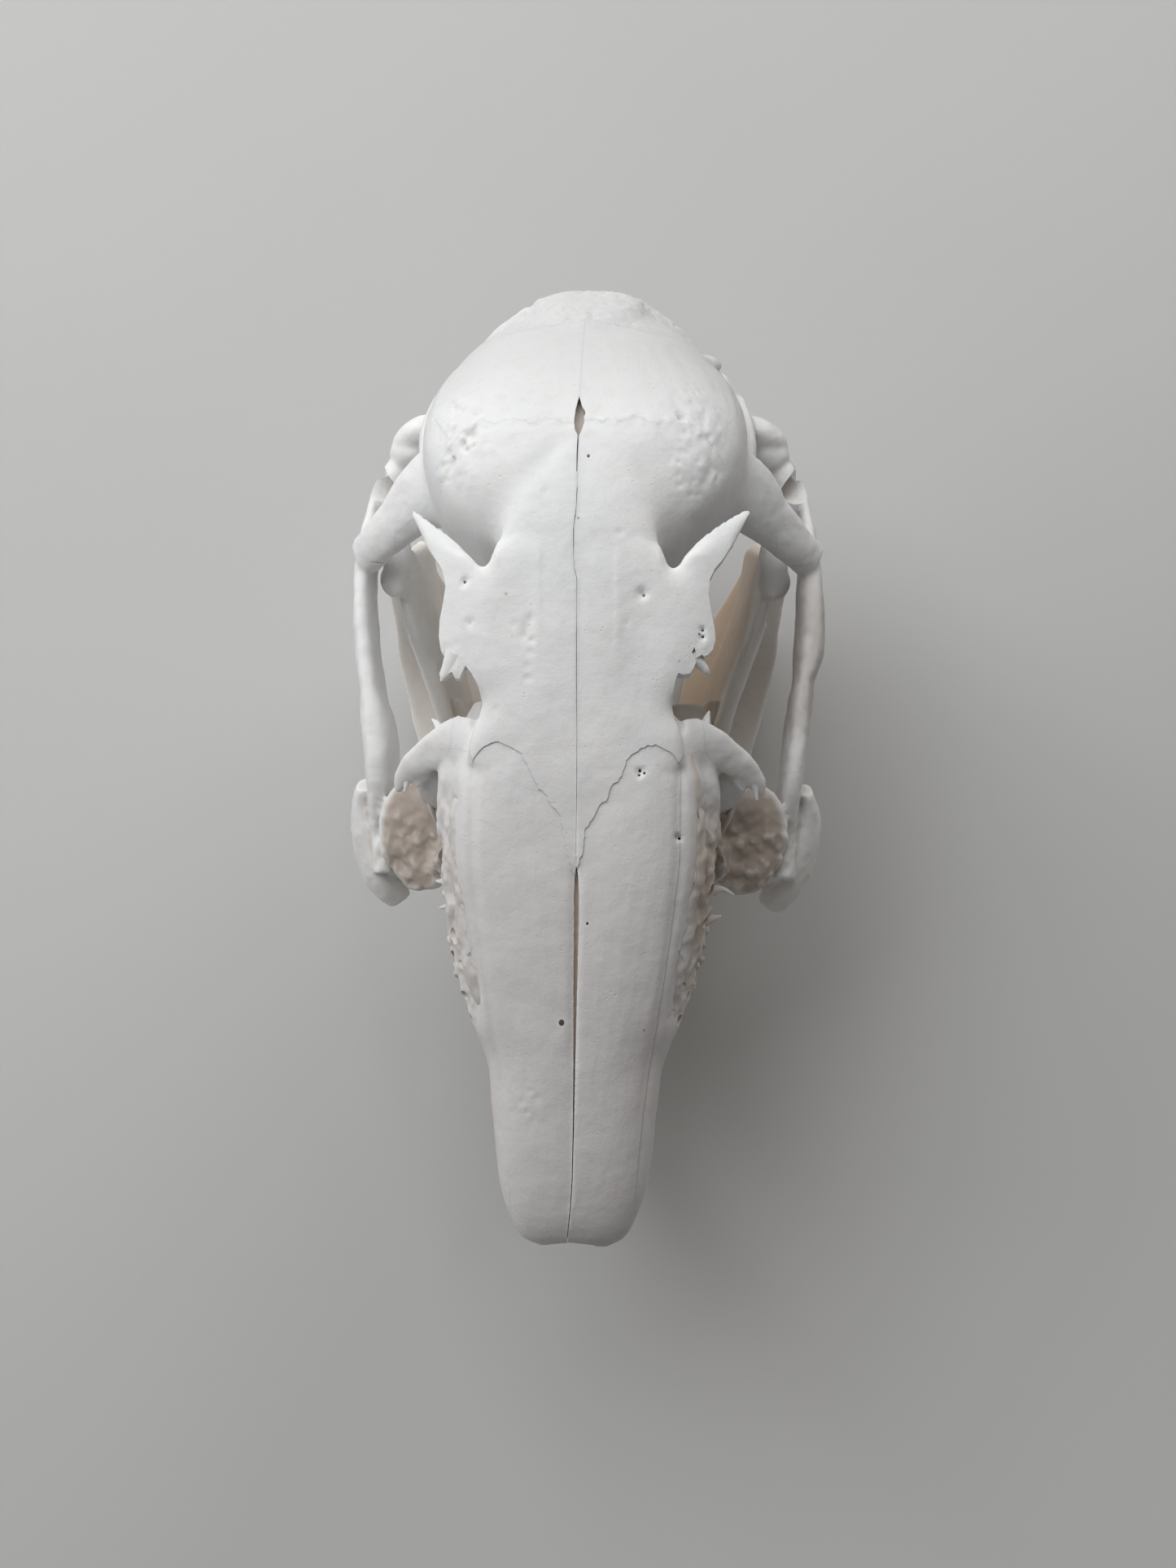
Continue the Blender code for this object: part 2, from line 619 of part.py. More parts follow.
def jaw_forms(side):
    body = body_along(
        8.4, 50, 1.2,
        half_width=((8.4, 1.5), (12, 2.1), (20, 2.6), (27, 2.7), (38, 3.1), (45, 2.8), (50, 1.6)),
        top=((8.4, 17.0), (11, 15.0), (15, 12.8), (21, 12.2), (27, 13.8), (31, 15.2), (45, 15.8), (50, 18)),
        widest=((8.4, 14.6), (12, 11.6), (20, 8.2), (31, 8), (50, 9)),
        bottom=((8.4, 12.6), (12, 9.0), (20, 4.0), (27, 1.2), (31, 0.3), (36, -0.3), (44, -0.3), (50, 0.6)),
        power=2.5,
        middle=tuple((y, side * x) for y, x in ((8.4, 1.6), (12, 2.3), (20, 4.0), (27, 6.0), (38, 9.0), (50, 12.6))),
    )
    foot = bar(
        ((12.2, 42, 2.6, 2.4, 1.2, -12), (13.8, 47, 3.2, 3.5, 1.0, -22), (14.5, 50, 3.0, 3.9, 0.95, -28),
         (15.3, 54, 2.6, 4.3, 0.9, -32), (16.2, 58, 3.2, 4.3, 0.9, -38), (17.0, 61.5, 6.0, 3.4, 0.9, -50),
         (17.2, 65.2, 10.4, 1.9, 0.8, -70), (17.2, 67.0, 14.0, 0.8, 0.6, -80)),
        side)
    condyle = egg(16.9, 58.4, 34.7, (1.35, 3.3, 1.35), side)
    knob = egg(17.0, 56.9, 34.2, (1.5, 1.7, 1.6), side)
    ridge = bar(((12.9, 45.5, 17.0, 0.9, 1.2, 0), (14.2, 49.5, 22.4, 0.8, 1.2, 0), (15.5, 53.0, 27.4, 0.8, 1.0, 0),
                 (16.2, 54.6, 29.6, 0.7, 0.7, 0)), side)
    return [body, ramus(side), foot, condyle, knob, ridge]


def ramus(side):
    """The thin upright plate of the jaw, leaning outwards to its top."""
    top = ((43, 14), (46, 17.2), (48.6, 21), (50.8, 25.6), (52.6, 30.2), (54.4, 32.6), (57, 33.8), (60, 33.8), (61.4, 30.6),
           (62.6, 25.4), (64.4, 20.6), (66.2, 16.6), (67, 14.2))
    bottom = ((43, 2.2), (48, 2.8), (52, 1.6), (55, 1.0), (58, 1.6), (61, 3.8), (64, 7.2), (66, 10.6), (67, 12.5))
    top_x = ((43, 12.6), (46, 13.3), (54, 16.0), (60, 17.0), (67, 17.1))
    bottom_x = ((43, 11.2), (50, 12.2), (57, 13.8), (61, 15.4), (67, 16.8))
    rings = []
    start, end, steps = 43, 67, 20
    for i in range(steps + 1):
        y = start + (end - start) * i / steps
        high, low = value_at(top, y), value_at(bottom, y)
        middle = (high + low) / 2
        ring = []
        for across, height in round_ring(0.8, high - middle, middle - low, 4.0):
            share = (height + middle - low) / (high - low)
            x = value_at(bottom_x, y) + (value_at(top_x, y) - value_at(bottom_x, y)) * share
            ring.append((side * (x + across), y, middle + height))
        rings.append(ring)
    return loft(rings)


def lower_cheek_teeth(side):
    teeth = []
    start, pitch, count = 31.6, 2.8, 5
    for i in range(count):
        small = 0.8 if i == count - 1 else 1.0
        y = start + pitch * (i + 0.5)
        x = 7.6 + 0.12 * (y - start)
        tooth = body_along(
            y - 1.25, y + 1.25, 0.6, half_width=1.75 * small, top=BITE_HEIGHT - 0.15, widest=16, bottom=12.5,
            power=5.0, middle=side * x,
        )
        teeth.append(tooth)
    return teeth


def lower_jaw():
    halves = []
    for side, name in ((1, "right"), (-1, "left")):
        half = to_object(f"mandible_{name}", *jaw_forms(side), *lower_cheek_teeth(side))
        fuse(half, JAW_VOXEL, JAW_TRIANGLES)
        past = 30.0
        below = prism([(-past, -past), (past, -past), (past, 3 * past), (-past, 3 * past)], -past, 0.0)
        other_side = prism(
            [(side * HALF_CUT, 0), (-side * past, 0), (-side * past, 3 * past), (side * HALF_CUT, 3 * past)], -past, past,
        )
        hollow(half, below)
        hollow(half, other_side)
        keep_largest(half)
        halves.append(half)
    return halves


# Front teeth


def incisor_path(side, upper):
    """Stations of a gnawing tooth, an arc in its own upright plane."""
    if upper:
        centre, radius, from_angle, to_angle = (10.6, 23.8), 8.4, 112, 222
        half_width, half_depth, x = 1.2, 1.3, 1.42
    else:
        centre, radius, from_angle, to_angle = (19.0, 25.0), 13.6, 248, 206
        half_width, half_depth, x = 1.1, 1.0, 1.35
    stations = []
    steps = 5
    for i in range(steps + 1):
        angle = math.radians(from_angle + (to_angle - from_angle) * i / steps)
        y, z = centre[0] + radius * math.cos(angle), centre[1] + radius * math.sin(angle)
        worn = 0.45 if i == steps else 1.0
        stations.append((x, y, z, half_width, half_depth * worn, 0))
    return stations


def arc_bar(stations, side, grow=0.0):
    """A bar bent in an upright plane; its rings stay square to the arc."""
    rings = []
    for i, (x, y, z, half_width, half_depth, _) in enumerate(stations):
        ahead = Vector(stations[min(i + 1, len(stations) - 1)][:3]) - Vector(stations[max(i - 1, 0)][:3])
        ahead.normalize()
        across = Vector((1, 0, 0))
        deep = across.cross(ahead)
        place = Vector((x, y, z)) + ahead * grow * (1 if i == len(stations) - 1 else -1 if i == 0 else 0)
        ring = round_ring(half_width + grow, half_depth + grow, half_depth + grow, 3.2)
        points = [place + across * a + deep * h for a, h in ring[::2]]
        rings.append([(side * p.x, p.y, p.z) for p in points])
    return loft(rings)


def settle_jaw(objects):
    """Leans the loose lower jaw a little to the left: most at its foot, least at its condyles."""
    lean = Matrix.Identity(4)
    lean[0][2] = (JAW_SHIFT_BELOW - JAW_SHIFT_ABOVE) / CONDYLE_HEIGHT
    lean[0][3] = -JAW_SHIFT_BELOW * MM
    for obj in objects:
        obj.data.transform(lean)


def incisors(bones):
    """Two upper and two lower gnawing teeth, each set in a socket of its bone."""
    teeth = []
    for side, name in ((1, "right"), (-1, "left")):
        for row, holder, upper in (("upper", "incisive", True), ("lower", "mandible", False)):
            stations = incisor_path(side, upper)
            holding = next(bone for bone in bones if bone.name == f"{holder}_{name}")
            hollow(holding, arc_bar(stations, side, TOOTH_GAP))
            keep_largest(holding)
            teeth.append(to_object(f"{row}_incisor_{name}", arc_bar(stations, side)))
    return teeth


def stand_on_origin(objects):
    """Moves everything so that the origin is under the middle of the whole skull."""
    corners = [vert.co for obj in objects for vert in obj.data.vertices]
    low = [min(c[i] for c in corners) for i in range(3)]
    high = [max(c[i] for c in corners) for i in range(3)]
    shift = Vector((-(low[0] + high[0]) / 2, -(low[1] + high[1]) / 2, -low[2]))
    for obj in objects:
        obj.data.transform(Matrix.Translation(shift))


def finish(objects):
    bone_white = make_material("bone", BONE_WHITE, 0.55)
    bone_warm = make_material("thin_bone", BONE_WARM, 0.5)
    ivory = make_material("tooth", TOOTH_IVORY, 0.3)
    for obj in objects:
        obj.data.materials.clear()
        warm = obj.name.startswith(("maxilla", "bulla", "sphenoid", "mandible"))
        obj.data.materials.append(ivory if "incisor" in obj.name else bone_warm if warm else bone_white)
        obj.data.shade_smooth()
        obj.data.set_sharp_from_angle(angle=math.radians(40))


def main():
    clear_scene()
    bones = part_cranium(cranium()) + lower_jaw()
    teeth = incisors(bones)
    settle_jaw([obj for obj in bones + teeth if obj.name.startswith(("mandible", "lower_incisor"))])
    stand_on_origin(bones + teeth)
    finish(bones + teeth)


main()
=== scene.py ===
import math
import time

import bmesh
import bpy
import numpy as np
from mathutils import Matrix, Vector


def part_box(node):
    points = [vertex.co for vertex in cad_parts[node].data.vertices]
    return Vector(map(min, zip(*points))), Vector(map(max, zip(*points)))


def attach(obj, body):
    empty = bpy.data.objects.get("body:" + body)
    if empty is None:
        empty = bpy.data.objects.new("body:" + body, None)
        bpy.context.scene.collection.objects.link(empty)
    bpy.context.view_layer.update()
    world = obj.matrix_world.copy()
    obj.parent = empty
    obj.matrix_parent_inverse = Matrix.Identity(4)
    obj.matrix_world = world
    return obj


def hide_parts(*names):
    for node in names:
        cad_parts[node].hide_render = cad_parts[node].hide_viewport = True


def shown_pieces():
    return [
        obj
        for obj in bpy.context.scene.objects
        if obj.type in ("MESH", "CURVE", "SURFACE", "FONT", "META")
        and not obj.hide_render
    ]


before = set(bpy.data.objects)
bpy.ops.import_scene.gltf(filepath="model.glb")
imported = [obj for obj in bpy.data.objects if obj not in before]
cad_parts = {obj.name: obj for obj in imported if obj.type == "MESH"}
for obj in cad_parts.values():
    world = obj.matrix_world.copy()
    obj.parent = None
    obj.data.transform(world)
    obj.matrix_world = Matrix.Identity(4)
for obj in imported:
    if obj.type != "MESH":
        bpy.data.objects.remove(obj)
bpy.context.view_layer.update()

startTime = time.time()

# Everything is shaped in skull millimetres: x across, y behind the nose tip, z above the table.
mm = 0.001
cheekCut = (17.0, 39.0)  # the cheek bone's front cut, across and behind the nose tip, which places the rest
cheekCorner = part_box("zygomatic_right")[0]
frameShift = Vector((cheekCorner.x / mm - cheekCut[0], cheekCorner.y / mm - cheekCut[1], 0.0))
sideNames = ((1, "right"), (-1, "left"))  # as the photograph shows them
clearHeight = 66  # above the whole skull

blankSettings = {
    "voxel": 0.2,  # size of the cells that the forms are melted in
    "smoothing": 4,
    "ringPoints": 48,
    "step": 0.9,
    "seam": 0.006,  # gap between two bones
    "hollowShare": 1.3,  # cells of the hollows, against those of the forms
    "crumb": 60,  # a shell with fewer faces is dropped from a bone
}


def say(stage):
    print(f"{time.time() - startTime:6.1f} s  {stage}", flush=True)


# Curves and profiles

def keyed(keys, place):  # smooth value along keys of (place, value)
    if not isinstance(keys, (tuple, list)):
        return keys
    if place <= keys[0][0]:
        return keys[0][1]
    for i in range(len(keys) - 1):
        (p0, v0), (p1, v1) = keys[i], keys[i + 1]
        if place <= p1:
            before, after = keys[max(i - 1, 0)], keys[min(i + 2, len(keys) - 1)]
            span = p1 - p0
            slope0 = (v1 - before[1]) / (p1 - before[0]) * span
            slope1 = (after[1] - v0) / (after[0] - p0) * span
            t = (place - p0) / span
            start = (2 * t**3 - 3 * t**2 + 1) * v0 + (t**3 - 2 * t**2 + t) * slope0
            return start + (3 * t**2 - 2 * t**3) * v1 + (t**3 - t**2) * slope1
    return keys[-1][1]


roofLine = (  # the skull's top along the midline
    (-1.2, 39.2), (0, 41.0), (4, 43.2), (10, 45.4), (20, 48.6), (30, 51.2), (37, 52.8), (45, 54.4),
    (52, 55.5), (58, 56.0), (63, 55.6), (68, 53.8), (73, 50.3), (77, 46.2), (79.4, 43.0), (80.8, 40.0),
)
roofTable = np.array([(y, keyed(roofLine, y)) for y in np.arange(-2, 82, 0.25)])


def roof(y):
    return np.interp(y, roofTable[:, 0], roofTable[:, 1])


def shifted(keys, by):
    return tuple((y, z + by) for y, z in keys)


# Forms: each is one closed shell

def ringAround(halfWidth, up, down, power=2.0, taper=0.0, points=None):
    points = points or blankSettings["ringPoints"]
    ring = []
    for i in range(points):
        angle = 2 * math.pi * i / points
        c, s = math.cos(angle), math.sin(angle)
        across = halfWidth * math.copysign(abs(c) ** (2 / power), c)
        height = math.copysign(abs(s) ** (2 / power), s)
        if s < 0:
            across *= 1 - taper * (-height) ** 0.8
        ring.append((across, height * (up if s > 0 else down)))
    return ring


def loftRings(rings):
    bm = bmesh.new()
    edgesBefore = None
    for i, ring in enumerate(rings):
        verts = bmesh.ops.create_circle(bm, segments=len(ring), radius=1)["verts"]
        for vert, place in zip(verts, ring):
            vert.co = place
        own = set(verts)
        edges = list({edge for vert in verts for edge in vert.link_edges if edge.other_vert(vert) in own})
        if i in (0, len(rings) - 1):
            bmesh.ops.edgeloop_fill(bm, edges=edges)
        if edgesBefore:
            bmesh.ops.bridge_loops(bm, edges=edgesBefore + edges)
        edgesBefore = edges
    bmesh.ops.recalc_face_normals(bm, faces=bm.faces)
    return bm


def formAlong(start, end, halfWidth, top, widest, bottom, power=2.0, taper=0.0, middle=0.0, step=None):
    rings = []
    count = max(2, round((end - start) / (step or blankSettings["step"])))
    for i in range(count + 1):
        y = start + (end - start) * i / count
        x, z = keyed(middle, y), keyed(widest, y)
        up, down = keyed(top, y) - z, z - keyed(bottom, y)
        ring = ringAround(keyed(halfWidth, y), up, down, keyed(power, y), keyed(taper, y))
        rings.append([(x + across, y, z + height) for across, height in ring])
    return loftRings(rings)


def sweptBar(path, side=1, power=2.2, step=0.7, points=24):
    # stations of x, y, z, half width, half height and, where there is one, roll in degrees
    path = [(*station, 0)[:6] for station in path]
    along = [0.0]
    for before, after in zip(path, path[1:]):
        along.append(along[-1] + (Vector(after[:3]) - Vector(before[:3])).length)
    count = max(2, round(along[-1] / step))
    columns = [tuple(zip(along, column)) for column in zip(*path)]
    stations = [[keyed(keys, along[-1] * i / count) for keys in columns] for i in range(count + 1)]
    rings = []
    for i, (x, y, z, halfWidth, halfHeight, roll) in enumerate(stations):
        ahead = Vector(stations[min(i + 1, count)][:3]) - Vector(stations[max(i - 1, 0)][:3])
        ahead.normalize()
        across = ahead.cross(Vector((0, 0, 1))).normalized()
        up = across.cross(ahead)
        turn = Matrix.Rotation(math.radians(roll), 3, ahead)
        across, up = turn @ across, turn @ up
        shape = ringAround(halfWidth, halfHeight, halfHeight, power, points=points)
        places = [Vector((x, y, z)) + across * a + up * h for a, h in shape]
        rings.append([(side * p.x, p.y, p.z) for p in places])
    return loftRings(rings)


def lump(place, radii, side=1, turn=(0, 0, 0), rings=16):
    x, y, z = place
    bm = bmesh.new()
    bmesh.ops.create_uvsphere(bm, u_segments=rings * 2, v_segments=rings, radius=1)
    bmesh.ops.scale(bm, vec=radii, verts=bm.verts)
    for axis, angle in zip("XYZ", turn):
        spin = Matrix.Rotation(math.radians(angle * (side if axis != "X" else 1)), 3, axis)
        bmesh.ops.rotate(bm, cent=(0, 0, 0), matrix=spin, verts=bm.verts)
    bmesh.ops.translate(bm, vec=(side * x, y, z), verts=bm.verts)
    return bm


def prism(outline, low, high, sideView=False):
    # an outline in plan pushed up from low to high, or an outline in side view pushed across
    bm = bmesh.new()
    base = [bm.verts.new((0, p, q) if sideView else (p, q, 0)) for p, q in outline]
    face = bm.faces.new(base)
    lifted = bmesh.ops.extrude_face_region(bm, geom=[face])["geom"]
    lifted = {v for v in lifted if isinstance(v, bmesh.types.BMVert)}
    for vert in bm.verts:
        level = high if vert in lifted else low
        level = level(vert.co.y) if callable(level) else level
        if sideView:
            vert.co.x = level
        else:
            vert.co.z = level
    bmesh.ops.triangulate(bm, faces=bm.faces)
    bmesh.ops.recalc_face_normals(bm, faces=bm.faces)
    return bm


def sided(outline, side):
    return [(side * px, py) for px, py in outline]


# Meshes and Booleans

def joinForms(name, forms):
    mesh = bpy.data.meshes.new(name)
    joined = bmesh.new()
    for bm in forms:
        bm.to_mesh(mesh)
        joined.from_mesh(mesh)
        bm.free()
    joined.to_mesh(mesh)
    joined.free()
    obj = bpy.data.objects.new(name, mesh)
    bpy.context.scene.collection.objects.link(obj)
    return obj


def bakeModifiers(obj):
    bpy.context.view_layer.update()
    graph = bpy.context.evaluated_depsgraph_get()
    mesh = bpy.data.meshes.new_from_object(obj.evaluated_get(graph))
    old = obj.data
    obj.modifiers.clear()
    obj.data = mesh
    bpy.data.meshes.remove(old)


def melt(obj, voxel=None, smoothing=None):
    remesh = obj.modifiers.new("melt", "REMESH")
    remesh.mode = "VOXEL"
    remesh.voxel_size = voxel or blankSettings["voxel"]
    ease = obj.modifiers.new("ease", "SMOOTH")
    ease.factor = 0.5
    ease.iterations = smoothing or blankSettings["smoothing"]
    bakeModifiers(obj)


def cutWith(obj, cutter, operation):
    boolean = obj.modifiers.new("cut", "BOOLEAN")
    boolean.operation = operation
    boolean.solver = "MANIFOLD"
    boolean.object = cutter
    bakeModifiers(obj)


def unite(obj, addition):
    cutWith(obj, addition, "UNION")
    bpy.data.objects.remove(addition)


def hollowOut(obj, forms, voxel=None):  # forms that touch one another are melted first
    cutter = joinForms("cutter", forms)
    if voxel:
        melt(cutter, voxel, 1)
    cutWith(obj, cutter, "DIFFERENCE")
    bpy.data.objects.remove(cutter)


def keepLargest(obj, least=None):
    # drops loose crumbs, or every shell with fewer faces than least
    bm = bmesh.new()
    bm.from_mesh(obj.data)
    bm.faces.ensure_lookup_table()
    seen = np.zeros(len(bm.faces), bool)
    shells = []
    for face in bm.faces:
        if seen[face.index]:
            continue
        seen[face.index] = True
        shell, front = [], [face]
        while front:
            here = front.pop()
            shell.append(here)
            for edge in here.edges:
                for other in edge.link_faces:
                    if not seen[other.index]:
                        seen[other.index] = True
                        front.append(other)
        shells.append(shell)
    shells.sort(key=len)
    crumbs = shells[:-1] if least is None else [shell for shell in shells[:-1] if len(shell) < least]
    if crumbs:
        bmesh.ops.delete(bm, geom=[face for shell in crumbs for face in shell], context="FACES")
        bm.to_mesh(obj.data)
    bm.free()


def carve(body, name, inside, outside):
    bone = body.copy()
    bone.data = body.data.copy()
    bone.name = name
    bpy.context.scene.collection.objects.link(bone)
    inside, outside = joinForms("inside", [inside]), joinForms("outside", [outside])
    cutWith(bone, inside, "INTERSECT")
    cutWith(body, outside, "DIFFERENCE")
    for cutter in (inside, outside):
        bpy.data.objects.remove(cutter)
    return bone


def shrunk(shape, inset, front, back, below):  # the same loft drawn in, for the hollow behind its walls
    return {
        **shape,
        "start": shape["start"] + inset * front,
        "end": shape["end"] - inset * back,
        "halfWidth": shifted(shape["halfWidth"], -inset),
        "top": shifted(shape["top"], -inset),
        "bottom": shifted(shape["bottom"], inset * below),
    }


def sideForms(shapes, side):  # a bar is a tuple of stations, or has a path; the others are lumps
    forms = []
    for shape in shapes.values():
        if isinstance(shape, tuple):
            forms.append(sweptBar(shape, side))
        else:
            forms.append((sweptBar if "path" in shape else lump)(side=side, **shape))
    return forms


# The cranium's forms

snoutShape = {
    "start": -1.2,
    "end": 41,
    "halfWidth": (
        (-1.2, 2.2), (-0.5, 3.9), (1, 5.0), (3.4, 5.8), (6.4, 6.3), (10, 6.7), (13.7, 7.2), (17, 8.5), (21, 9.8),
        (25, 10.6), (30, 11.2), (35, 10.6), (41, 8.6),
    ),
    "top": roofLine,
    "widest": ((-1.2, 38.4), (4, 39.2), (12, 40.2), (20, 41.2), (30, 42.4), (41, 44)),
    "bottom": ((-1.2, 36), (0.2, 31.5), (1.6, 28.6), (4, 27.8), (8, 27.4), (15, 26.4), (22, 25.2), (32, 24.2)),
    "power": ((-1.2, 2.6), (20, 2.7), (28, 3.2), (34, 3.7), (37, 3.5), (41, 2.5)),
    "taper": ((-1.2, 0.2), (4, 0.4), (12, 0.5), (24, 0.42), (41, 0.35)),
}

orbitRoofShape = {
    "start": 31,
    "end": 62,
    "halfWidth": (
        (31, 3.5), (34, 7.0), (36.5, 8.5), (38.5, 8.4), (41, 7.5), (46, 7.9), (51, 7.1), (53, 6.3), (55, 6.1),
        (58, 5.2), (60, 4.0), (62, 2.5),
    ),
    "top": shifted(roofLine, -0.04),
    "widest": shifted(roofLine, -1.7),
    "bottom": shifted(roofLine, -7.5),
    "power": 2.4,
    "taper": 0.35,
}

shoulderShape = {  # rounds the roof over into the front of the braincase
    "start": 52.8,
    "end": 67,
    "halfWidth": ((52.8, 6.0), (56, 7.7), (59, 9.3), (62, 10.0), (67, 8.0)),
    "top": shifted(roofLine, -0.2),
    "widest": shifted(roofLine, -4.5),
    "bottom": shifted(roofLine, -8),
    "power": 2.3,
}

orbitWallShape = {
    "start": 34,
    "end": 62,
    "halfWidth": ((34, 8.0), (38, 6.8), (42, 4.4), (46, 3.2), (52, 2.7), (56, 3.4), (62, 6.5)),
    "top": shifted(roofLine, -3.5),
    "widest": 40,
    "bottom": ((34, 25), (46, 27), (62, 28.5)),
    "power": 3.2,
}

braincaseShape = {
    "start": 53.2,
    "end": 80.6,
    "halfWidth": (
        (53.2, 5.4), (54.4, 8.3), (56.5, 10.8), (59, 12.4), (62, 13.3), (66, 13.7), (69.5, 13.4), (72.5, 12.4),
        (75, 11.0), (77, 9.2), (79, 7.2), (80.6, 4.8),
    ),
    "top": ((53.2, 53.0), (55, 54.3), (57, 55.1), (59.5, 55.6), (63, 55.6), *roofLine[11:]),
    "widest": ((53.2, 47), (60, 46.0), (65, 44.4), (69, 41.6), (72, 39.7), (78, 37), (80.6, 36)),
    "bottom": ((53.2, 37), (58, 31), (64, 28.4), (72, 28), (78, 28.5), (80.6, 30)),
    "power": ((53.2, 2.4), (56.5, 3.2), (60, 3.3), (64, 3.0), (68, 2.5), (72, 2.15)),
}

napeShieldShape = {
    "start": 74.0,
    "end": 80.8,
    "halfWidth": ((74.0, 2.2), (76, 4.4), (78.5, 4.9), (80.2, 3.8), (80.8, 2.2)),
    "top": ((74.0, 49.6), (76.5, 47.4), (78.5, 45.4), (80.2, 43.7), (80.8, 42.8)),
    "widest": ((74.0, 45), (80.8, 41.8)),
    "bottom": ((74.0, 42), (80.8, 40.4)),
    "power": 3.0,
    "step": 0.5,
}

baseShape = {
    "start": 46,
    "end": 80.5,
    "halfWidth": ((46, 2.4), (56, 2.8), (66, 3.4), (74, 4.2), (80.5, 4.0)),
    "top": ((46, 31), (80.5, 32)),
    "widest": ((46, 28.5), (66, 27.8), (80.5, 29.4)),
    "bottom": ((46, 26.8), (60, 25.8), (70, 26), (80.5, 27.8)),
    "power": 2.8,
}

browShape = {  # the eave over each orbit, by distance from the midline; its ragged front edge is cut afterwards
    "front": (
        (3, 40.5), (7.2, 41.0), (8.2, 42.4), (10.2, 42.6), (11.3, 44.0), (11.5, 48.0), (11.6, 51.6), (12.6, 54.6),
        (13.5, 56.4),
    ),
    "back": {
        "right": (
            (3, 56.0), (6.4, 53.2), (6.9, 51.9), (7.4, 51.6), (7.9, 51.9), (8.9, 53.5), (10.9, 55.4), (12.9, 56.9),
            (13.5, 57.2),
        ),
        "left": (
            (3, 56.0), (6.5, 53.4), (7.0, 52.0), (7.5, 51.6), (8.0, 51.8), (8.6, 52.5), (10.0, 54.0), (12.0, 55.6),
            (13.1, 56.6), (13.5, 56.9),
        ),
    },
    "stations": (3, 5, 6.4, 7.0, 7.4, 7.9, 8.4, 9.2, 10, 10.6, 10.9, 11.3, 11.8, 12.4, 13.0, 13.5),
    "drop": ((3, 0.05), (5, 0.25), (7, 0.65), (8, 0.95), (10, 1.6), (13.4, 3.2)),  # below the roof's midline
    "thickness": ((3, 3.0), (7, 2.2), (10, 1.2), (13.4, 0.7)),
    "points": 14,  # from front to back
}
orbitEdge = {  # the open orbit as the broken edges of brow and frontal bound it, in plan
    "right": (
        (14.2, 57.9), (13.3, 56.5), (12.8, 55.4), (12.1, 54.0), (11.3, 52.6), (10.7, 51.8), (10.3, 50.9),
        (10.2, 49.7), (10.45, 48.3), (10.7, 47.2), (10.8, 46.3), (10.6, 45.5), (10.2, 45.0), (9.9, 44.85),
        (9.75, 45.0), (9.35, 44.7), (9.15, 45.5), (8.95, 45.1), (9.3, 44.4), (9.1, 43.9), (8.84, 43.5), (8.3, 43.35),
        (7.9, 43.45), (7.7, 42.9), (7.5, 41.9), (7.6, 40.9), (8.2, 40.3), (9.4, 40.7), (10.5, 41.6), (17, 41.6),
        (17, 58.4),
    ),
    "left": (
        (14.2, 57.6), (13.5, 56.2), (12.9, 55.0), (12.2, 53.7), (11.4, 52.5), (10.8, 51.5), (10.5, 50.3),
        (10.7, 48.9), (10.95, 47.6), (11.0, 46.3), (10.8, 45.2), (10.45, 44.7), (10.6, 44.2), (10.95, 43.5),
        (10.85, 43.15), (10.5, 43.0), (10.2, 43.35), (9.9, 43.5), (9.6, 43.0), (9.3, 42.95), (9.05, 43.4),
        (8.8, 43.9), (8.3, 43.3), (7.8, 42.5), (7.55, 41.5), (7.6, 40.7), (8.2, 40.2), (9.4, 40.6), (10.5, 41.6),
        (17, 41.6), (17, 58.2),
    ),
}

orbitLevels = (46.2, 60)  # heights between which the orbit is cut open


def browForm(side, name):
    rings = []
    for x in browShape["stations"]:
        start, end = keyed(browShape["front"], x), keyed(browShape["back"][name], x)
        thick = keyed(browShape["thickness"], x)
        upper, lower = [], []
        for i in range(browShape["points"] + 1):
            t = i / browShape["points"]
            y = start + (end - start) * t
            rim = math.sqrt(max(0.0, 1 - (2 * t - 1) ** 4))
            half = thick / 2 * (0.5 + 0.5 * rim)
            middle = roof(y) - keyed(browShape["drop"], x) - thick / 2
            upper.append((side * x, y, middle + half))
            lower.append((side * x, y, middle - half))
        rings.append(upper + lower[::-1])
    return loftRings(rings)


tearShape = {
    "hook": {
        "path": (
            (8.0, 38.9, 49.4, 2.3, 1.2), (10.0, 38.8, 48.2, 1.9, 0.75, 8), (12.0, 38.2, 46.6, 1.45, 0.55, 12),
            (13.6, 37.4, 45.2, 1.15, 0.48, 12), (14.7, 36.4, 44.0, 0.75, 0.4, 8), (15.1, 35.7, 43.4, 0.3, 0.25),
        ),
        "step": 0.5,
    },
    "barb": {
        "path": ((12.6, 37.6, 45.3, 0.7, 0.4), (13.2, 36.3, 44.5, 0.45, 0.3), (13.5, 35.7, 44.1, 0.15, 0.15)),
        "step": 0.4,
    },
}

